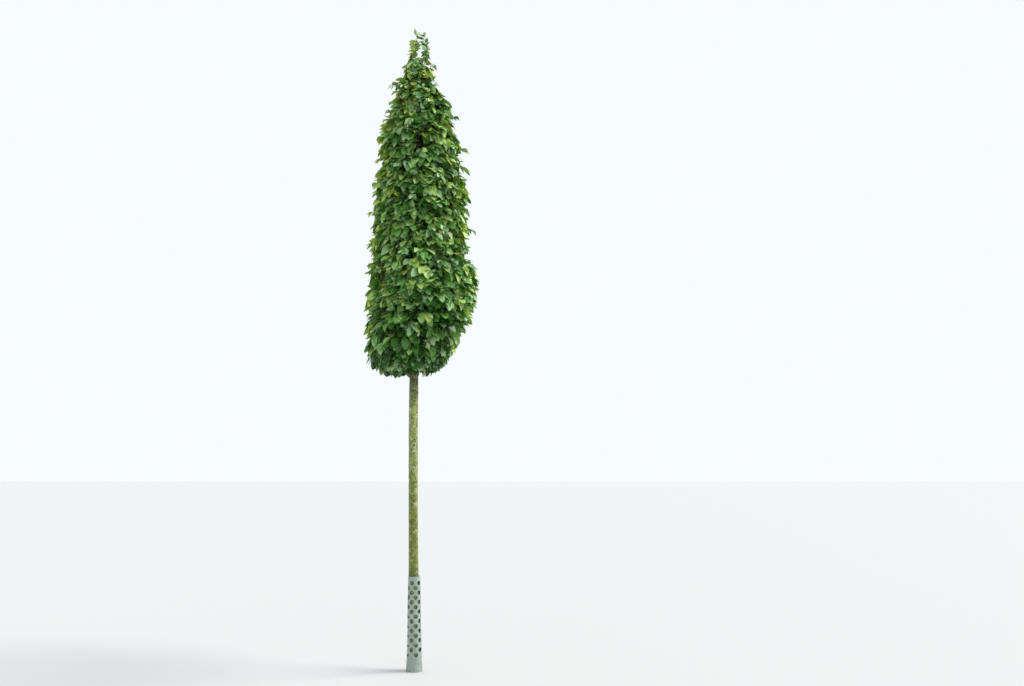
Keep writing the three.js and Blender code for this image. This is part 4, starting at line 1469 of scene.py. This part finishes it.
# The seven scored colours are steps of painted shade and painted light. Olive and withered are the
# leaves' own colours, and the pale underside also serves as a painted sheen of the sky.
LEAF_COLOURS = {
    "shade": linear(48, 86, 33),
    "deep": linear(62, 114, 38),
    "middle": linear(91, 146, 58),
    "blue": linear(133, 173, 118),
    "sunlit": linear(142, 180, 98),
    "bright": linear(164, 196, 96),
    "lime": linear(180, 204, 76),
    "olive": linear(140, 150, 60),
    "pale": linear(178, 200, 146),
    "withered": linear(198, 152, 96),
}
LEAF_ROUGHNESS = 0.38
# The roughness of a leaf in its furrows and on its pleats.
LEAF_GLOSS = (LEAF_ROUGHNESS + 0.12, LEAF_ROUGHNESS - 0.04)
LEAF_SHINE = 0.46
VEIN_PAIRS = 12
VEIN_SLANT = 0.8
VEIN_BUMP = 0.35
VEIN_DEPTH = 0.0012
PLEAT_SWING = 0.35
MIDRIB_SHARPNESS = 30.0


def new_group(name, inputs, outputs):
    """An empty shader node group with named inputs and outputs."""
    group = bpy.data.node_groups.new(name, "ShaderNodeTree")
    for socket_name, kind, value in inputs:
        socket = group.interface.new_socket(socket_name, in_out="INPUT", socket_type=kind)
        if value is not None:
            socket.default_value = value
    for socket_name, kind in outputs:
        group.interface.new_socket(socket_name, in_out="OUTPUT", socket_type=kind)
    return group, group.nodes.new("NodeGroupInput"), group.nodes.new("NodeGroupOutput")


def math_node(tree, operation, first, second=None):
    """A Math node. Each input is a socket or a number."""
    node = tree.nodes.new("ShaderNodeMath")
    node.operation = operation
    for place, value in enumerate(v for v in (first, second) if v is not None):
        if isinstance(value, (int, float)):
            node.inputs[place].default_value = value
        else:
            tree.links.new(value, node.inputs[place])
    return node.outputs[0]


def axes_of(tree, place):
    """The three parts of a place, by the names X, Y and Z."""
    node = tree.nodes.new("ShaderNodeSeparateXYZ")
    tree.links.new(place, node.inputs[0])
    return node.outputs


def place_group(tree, group, place):
    """A group node that works from a place."""
    node = tree.nodes.new("ShaderNodeGroup")
    node.node_tree = group
    tree.links.new(place, node.inputs[0])
    return node


def bump_from(tree, shader, height, strength, depth):
    """Raises the surface by a height from 0 to 1."""
    node = tree.nodes.new("ShaderNodeBump")
    node.inputs["Strength"].default_value = strength
    node.inputs["Distance"].default_value = depth
    tree.links.new(height, node.inputs["Height"])
    tree.links.new(node.outputs["Normal"], shader.inputs["Normal"])


def gloss_from(tree, shader, value, low, high):
    """Lets the roughness run from low to high as a value goes from 0 to 1."""
    node = tree.nodes.new("ShaderNodeMapRange")
    node.inputs["To Min"].default_value = low
    node.inputs["To Max"].default_value = high
    tree.links.new(value, node.inputs["Value"])
    tree.links.new(node.outputs[0], shader.inputs["Roughness"])


def pleats_group():
    """Straight side veins that slant from the midrib to the edge, as a height from 0 to 1."""
    inputs = [("Map", "NodeSocketVector", None)]
    group, entry, end = new_group("pleats", inputs, [("Height", "NodeSocketFloat")])
    parts = axes_of(group, entry.outputs["Map"])
    aside = math_node(group, "ABSOLUTE", math_node(group, "SUBTRACT", parts["X"], 0.5))
    slant = math_node(group, "MULTIPLY", aside, VEIN_SLANT)
    slanted = math_node(group, "SUBTRACT", parts["Y"], slant)
    wave = math_node(group, "SINE", math_node(group, "MULTIPLY", slanted, VEIN_PAIRS * 2 * math.pi))
    pleat = math_node(group, "ADD", math_node(group, "MULTIPLY", wave, PLEAT_SWING), 0.5)
    midrib = math_node(group, "MINIMUM", math_node(group, "MULTIPLY", aside, MIDRIB_SHARPNESS), 1.0)
    group.links.new(math_node(group, "MULTIPLY", pleat, midrib), end.inputs["Height"])
    return group


PLEATS = pleats_group()


def leaf_material(name, colour):
    """A leaf finish: one plain colour, with pleats and midrib in the bump and in the gloss."""
    material, shader = material_of("leaf_" + name, LEAF_ROUGHNESS, colour)
    shader.inputs["Specular IOR Level"].default_value = LEAF_SHINE
    tree = material.node_tree
    place = tree.nodes.new("ShaderNodeUVMap")
    place.uv_map = "leaf"
    height = place_group(tree, PLEATS, place.outputs["UV"]).outputs["Height"]
    bump_from(tree, shader, height, VEIN_BUMP, VEIN_DEPTH)
    gloss_from(tree, shader, height, *LEAF_GLOSS)
    return material


leaf_materials = [leaf_material(name, LEAF_COLOURS[name]) for name in TINTS]
for piece in leaf_pieces:
    for material in leaf_materials:
        piece.data.materials.append(material)
print(len(leaf_materials), "leaf colours on", len(leaf_pieces), "pieces")

# %% [markdown]
# The trunk is grey wood under a film of green algae, with ochre stains and cream lichen in dots and
# patches. Nothing on it repeats at one size, so the colour is built up in layers of noise, each with
# its own scale. The lichen and the grain are groups, because trunk and boughs both use them.

# %% Shared effects for bark and plastic
# Where lichen grows, as a row of scale, detail, roughness, and the values between which it sets in,
# then how ragged its dots are and how soft their edge is.
LICHEN_FIELDS = (26.0, 4.0, 0.55, 0.36, 0.74)
LICHEN_RAGGED_NOISE = (160.0, 2.0, 0.55)
LICHEN_RAGGED = 0.5
LICHEN_SPARE = 0.25
LICHEN_EDGE = 0.12
# Upright cracks and level pores, and how their coordinates are stretched.
CRACK_STRETCH = (1, 1, 0.16)
CRACK_NOISE = (260.0, 5.0, 0.6)
PORE_STRETCH = (0.3, 0.3, 2.2)
PORES = (120.0, 3.0, 0.55, 0.62, 0.72)
PORE_DEPTH = 0.4


def noise_node(tree, place, scale, detail, roughness):
    node = tree.nodes.new("ShaderNodeTexNoise")
    node.inputs["Scale"].default_value = scale
    node.inputs["Detail"].default_value = detail
    node.inputs["Roughness"].default_value = roughness
    tree.links.new(place, node.inputs["Vector"])
    return node.outputs["Fac"]


def stretched(tree, place, scale):
    """Coordinates stretched along each axis."""
    node = tree.nodes.new("ShaderNodeMapping")
    node.inputs["Scale"].default_value = scale
    tree.links.new(place, node.inputs["Vector"])
    return node.outputs[0]


def between(tree, value, low, high):
    """A soft step from 0 to 1 as the value goes from low to high."""
    node = tree.nodes.new("ShaderNodeMapRange")
    node.interpolation_type = "SMOOTHSTEP"
    node.inputs["From Min"].default_value = low
    node.inputs["From Max"].default_value = high
    tree.links.new(value, node.inputs["Value"])
    return node.outputs[0]


def patches(tree, place, row, more=0.0):
    """Where patches lie, from 0 to 1, by a row of noise and the values between which they set in.

    More of them show when both values are lowered.
    """
    scale, detail, roughness, low, high = row
    return between(tree, noise_node(tree, place, scale, detail, roughness), low - more, high - more)


def tinted(tree, under, over, mask, strength=1.0):
    """One colour laid over another by a mask. Each colour is a socket or plain numbers."""
    node = tree.nodes.new("ShaderNodeMix")
    node.data_type = "RGBA"
    for colour, socket in ((under, node.inputs["A"]), (over, node.inputs["B"])):
        if isinstance(colour, tuple):
            socket.default_value = (*colour, 1)
        else:
            tree.links.new(colour, socket)
    tree.links.new(math_node(tree, "MULTIPLY", mask, strength), node.inputs["Factor"])
    return node.outputs["Result"]


def lichen_group():
    """Dots and patches of lichen: a mask from 0 to 1 that also stands up in the bump."""
    group, entry, end = new_group(
        "lichen",
        [
            ("Place", "NodeSocketVector", None),
            ("Cover", "NodeSocketFloat", 0.5),
            ("Scale", "NodeSocketFloat", 95.0),
        ],
        [("Mask", "NodeSocketFloat")],
    )
    place = entry.outputs["Place"]
    dots = group.nodes.new("ShaderNodeTexVoronoi")
    group.links.new(entry.outputs["Scale"], dots.inputs["Scale"])
    group.links.new(place, dots.inputs["Vector"])
    rough = noise_node(group, place, *LICHEN_RAGGED_NOISE)
    ragged = math_node(group, "MULTIPLY", rough, LICHEN_RAGGED)
    far = math_node(group, "ADD", dots.outputs["Distance"], ragged)
    fields = patches(group, place, LICHEN_FIELDS)
    size = math_node(group, "MULTIPLY", fields, entry.outputs["Cover"])
    near = math_node(group, "SUBTRACT", size, math_node(group, "SUBTRACT", far, LICHEN_SPARE))
    group.links.new(between(group, near, 0.0, LICHEN_EDGE), end.inputs["Mask"])
    return group


def grain_group():
    """Fine upright cracks and level pores, as a height from 0 to 1."""
    inputs = [("Place", "NodeSocketVector", None)]
    group, entry, end = new_group("grain", inputs, [("Height", "NodeSocketFloat")])
    place = entry.outputs["Place"]
    cracks = noise_node(group, stretched(group, place, CRACK_STRETCH), *CRACK_NOISE)
    pits = patches(group, stretched(group, place, PORE_STRETCH), PORES)
    height = math_node(group, "SUBTRACT", cracks, math_node(group, "MULTIPLY", pits, PORE_DEPTH))
    group.links.new(height, end.inputs["Height"])
    return group


LICHEN = lichen_group()
GRAIN = grain_group()


def object_place(tree):
    return tree.nodes.new("ShaderNodeTexCoord").outputs["Object"]


# %% Bark
BARK_GREY = linear(162, 180, 106)
BARK_BROWN = linear(112, 103, 52)
BARK_ALGAE = linear(116, 128, 42)
BARK_OCHRE = linear(150, 128, 50)
BARK_CREAM = linear(208, 210, 162)
# Dark of cracks and flecks, and also the colour of the painted shade.
BARK_DARK = linear(54, 58, 32)
BARK_ROUGHNESS = 0.85
BARK_BUMP = 0.6
BARK_BUMP_DEPTH = 0.0012
BARK_UPRIGHT = (1, 1, 0.35)
# Grey wood, algae and ochre stains, and how strongly the last two cover the wood.
GREY_PATCHES = (30.0, 6.0, 0.65, 0.62, 0.82)
ALGAE_PATCHES = (9.0, 6.0, 0.65, 0.66, 0.84)
ALGAE_DEPTH = 0.8
OCHRE_PATCHES = (15.0, 6.0, 0.55, 0.60, 0.72)
OCHRE_DEPTH = 0.6
# The deepest of the grain is dark.
CRACKS = (0.42, 0.20)
CRACK_DEPTH = 0.8
# Lichen comes in dots and in flakes: how closely they are scattered, and how much they cover.
LICHEN_SIZES = ((170.0, 1.0), (75.0, 0.8))
LICHEN_DEPTH = 0.7
# The wood has painted shade up under the leaves and just over the guard, and is paler behind the guard.
SHADED = (1.74, 2.0)
SHADED_LOW = (0.76, 0.64)
SHADED_LOW_SHARE = 0.6
SHADE_DEPTH = 0.7
BARK_PALE = linear(126, 120, 88)
BEHIND_GUARD = (0.63, 0.55)
BEHIND_GUARD_DEPTH = 0.75
# High in the crown the wood is young, smooth and grey.
YOUNG_WOOD = linear(176, 166, 158)
YOUNG_ABOVE = (2.8, 3.4)
YOUNG_DEPTH = 0.85
# The side towards the sun has a yellower painted light, and the flank away from it a blue-grey
# painted shade.
BARK_LIT = linear(162, 170, 84)
BARK_SHADED_FLANK = linear(132, 150, 112)
LIT_FROM_TO = (-0.006, 0.016)
FLANK_FROM_TO = (-0.026, -0.048)
SIDE_DEPTH = 0.5
# Mottling in two sizes: how fine it is and how strongly it darkens the wood, then where on its noise
# the dark flecks and the pale ones lie.
MOTTLES = ((22.0, 0.4), (70.0, 0.78))
MOTTLE_NOISE = (5.0, 0.75)
MOTTLE_DARK = (0.54, 0.38)
MOTTLE_CREAM = (0.54, 0.70)
MOTTLE_PALE = 0.55
# Low on the stem the algae lie thick and even over it.
BARK_EVEN = linear(104, 113, 49)
EVEN_BELOW = (1.12, 0.84)
EVEN_DEPTH = 0.5
# A grey film of lichen covers the upper part of the clear stem.
FILM_ABOVE = (1.05, 1.42)
FILM_DEPTH = 0.5


def bark_material(name, greyness, cover, algae):
    """Bark: grey to brown wood, algae, ochre stains, lichen, dark in the finest cracks, and painted light
    and shade.
    """
    material, shader = material_of(name, BARK_ROUGHNESS)
    tree = material.node_tree
    place = object_place(tree)
    height = axes_of(tree, place)["Z"]
    tall = stretched(tree, place, BARK_UPRIGHT)
    colour = tinted(tree, BARK_BROWN, BARK_GREY, patches(tree, tall, GREY_PATCHES, greyness))
    green = patches(tree, tall, ALGAE_PATCHES, algae)
    colour = tinted(tree, colour, BARK_ALGAE, green, ALGAE_DEPTH)
    colour = tinted(tree, colour, BARK_OCHRE, patches(tree, place, OCHRE_PATCHES), OCHRE_DEPTH)
    colour = tinted(tree, colour, BARK_GREY, between(tree, height, *FILM_ABOVE), FILM_DEPTH)
    # Painted light on the side towards the sun, and painted shade on the flank away from it.
    for side_colour, reach in ((BARK_LIT, LIT_FROM_TO), (BARK_SHADED_FLANK, FLANK_FROM_TO)):
        side = between(tree, axes_of(tree, place)["X"], *reach)
        colour = tinted(tree, colour, side_colour, side, SIDE_DEPTH)
    for scale, strength in MOTTLES:
        fleck = noise_node(tree, place, scale, *MOTTLE_NOISE)
        dark = between(tree, fleck, *MOTTLE_DARK)
        colour = tinted(tree, colour, BARK_DARK, dark, strength)
        cream = between(tree, fleck, *MOTTLE_CREAM)
        colour = tinted(tree, colour, BARK_CREAM, cream, strength * MOTTLE_PALE)
    colour = tinted(tree, colour, BARK_EVEN, between(tree, height, *EVEN_BELOW), EVEN_DEPTH)
    behind_guard = between(tree, height, *BEHIND_GUARD)
    colour = tinted(tree, colour, BARK_PALE, behind_guard, BEHIND_GUARD_DEPTH)
    # Painted shade just over the guard and up under the leaves.
    over_guard = math_node(tree, "SUBTRACT", between(tree, height, *SHADED_LOW), behind_guard)
    over_guard = math_node(tree, "MULTIPLY", over_guard, SHADED_LOW_SHARE)
    shaded = math_node(tree, "MAXIMUM", between(tree, height, *SHADED), over_guard)
    colour = tinted(tree, colour, BARK_DARK, shaded, SHADE_DEPTH)
    colour = tinted(tree, colour, YOUNG_WOOD, between(tree, height, *YOUNG_ABOVE), YOUNG_DEPTH)
    raised = place_group(tree, GRAIN, place).outputs["Height"]
    colour = tinted(tree, colour, BARK_DARK, between(tree, raised, *CRACKS), CRACK_DEPTH)
    for scale, share in LICHEN_SIZES:
        lichen = place_group(tree, LICHEN, place)
        lichen.inputs["Cover"].default_value = cover * share
        lichen.inputs["Scale"].default_value = scale
        colour = tinted(tree, colour, BARK_CREAM, lichen.outputs["Mask"], LICHEN_DEPTH)
        raised = math_node(tree, "ADD", raised, lichen.outputs["Mask"])
    tree.links.new(colour, shader.inputs["Base Color"])
    bump_from(tree, shader, raised, BARK_BUMP, BARK_BUMP_DEPTH)
    return material


trunk_finish = bark_material("trunk_bark", greyness=0.16, cover=0.62, algae=0.32)
trunk_bark.data.materials.append(trunk_finish)
bough_finish = bark_material("bough_bark", greyness=0.08, cover=0.30, algae=0.14)
for piece in bough_barks:
    piece.data.materials.append(bough_finish)

TWIG_BROWN = linear(66, 54, 38)
TWIG_GREY = linear(96, 88, 70)
TWIG_PATCHES = (60.0, 4.0, 0.55, 0.4, 0.65)
TWIG_ROUGHNESS = 0.7
twig_finish, twig_shader = material_of("twig_bark", TWIG_ROUGHNESS)
twig_tree = twig_finish.node_tree
twig_mask = patches(twig_tree, object_place(twig_tree), TWIG_PATCHES)
twig_tree.links.new(tinted(twig_tree, TWIG_BROWN, TWIG_GREY, twig_mask), twig_shader.inputs["Base Color"])
for piece in twig_pieces:
    piece.data.materials.append(twig_finish)
print("bark on", 1 + len(bough_barks) + len(twig_pieces), "pieces")

# %% [markdown]
# The guard is extruded sheet, pale blue grey, bleached a little on its faces and splashed with soil
# near the ground. Fine ripples from the rolling show only where light grazes them.

# %% Guard plastic
GUARD_BLUE = linear(138, 154, 147)
GUARD_PALE = linear(166, 180, 173)
GUARD_GREEN = linear(112, 132, 104)
GUARD_SOIL = linear(118, 108, 84)
# Bleached clouds, a green film and splashes of soil: where each lies, and how strongly it shows.
GUARD_CLOUDS = (14.0, 5.0, 0.55, 0.35, 0.7)
CLOUD_DEPTH = 0.6
GUARD_FILM = (26.0, 4.0, 0.55, 0.55, 0.75)
GUARD_FILM_STRETCH = (1, 1, 0.3)
GUARD_FILM_DEPTH = 0.45
SPLASHES = (180.0, 3.0, 0.55, 0.5, 0.62)
SPLASH_HEIGHT = 0.12
SPLASH_DEPTH = 0.8
GUARD_ROUGHNESS = 0.5
GUARD_GLOSS = (0.42, 0.62)
RIPPLE_STRETCH = (1, 1, 0.08)
RIPPLE_NOISE = (320.0, 2.0, 0.55)
RIPPLE_BUMP = 0.2
RIPPLE_DEPTH = 0.0006

guard_finish, guard_shader = material_of("guard_plastic", GUARD_ROUGHNESS)
guard_tree = guard_finish.node_tree
guard_place = object_place(guard_tree)
cloud = patches(guard_tree, guard_place, GUARD_CLOUDS)
guard_colour = tinted(guard_tree, GUARD_BLUE, GUARD_PALE, cloud, CLOUD_DEPTH)
film = patches(guard_tree, stretched(guard_tree, guard_place, GUARD_FILM_STRETCH), GUARD_FILM)
guard_colour = tinted(guard_tree, guard_colour, GUARD_GREEN, film, GUARD_FILM_DEPTH)
low_down = between(guard_tree, axes_of(guard_tree, guard_place)["Z"], SPLASH_HEIGHT, 0.0)
splash = math_node(guard_tree, "MULTIPLY", low_down, patches(guard_tree, guard_place, SPLASHES))
guard_colour = tinted(guard_tree, guard_colour, GUARD_SOIL, splash, SPLASH_DEPTH)
guard_tree.links.new(guard_colour, guard_shader.inputs["Base Color"])
gloss_from(guard_tree, guard_shader, cloud, *GUARD_GLOSS)
ripple = noise_node(guard_tree, stretched(guard_tree, guard_place, RIPPLE_STRETCH), *RIPPLE_NOISE)
bump_from(guard_tree, guard_shader, ripple, RIPPLE_BUMP, RIPPLE_DEPTH)
for piece in (guard, guard_flap):
    piece.data.materials.append(guard_finish)
print("guard plastic on", guard.name, "and", guard_flap.name)
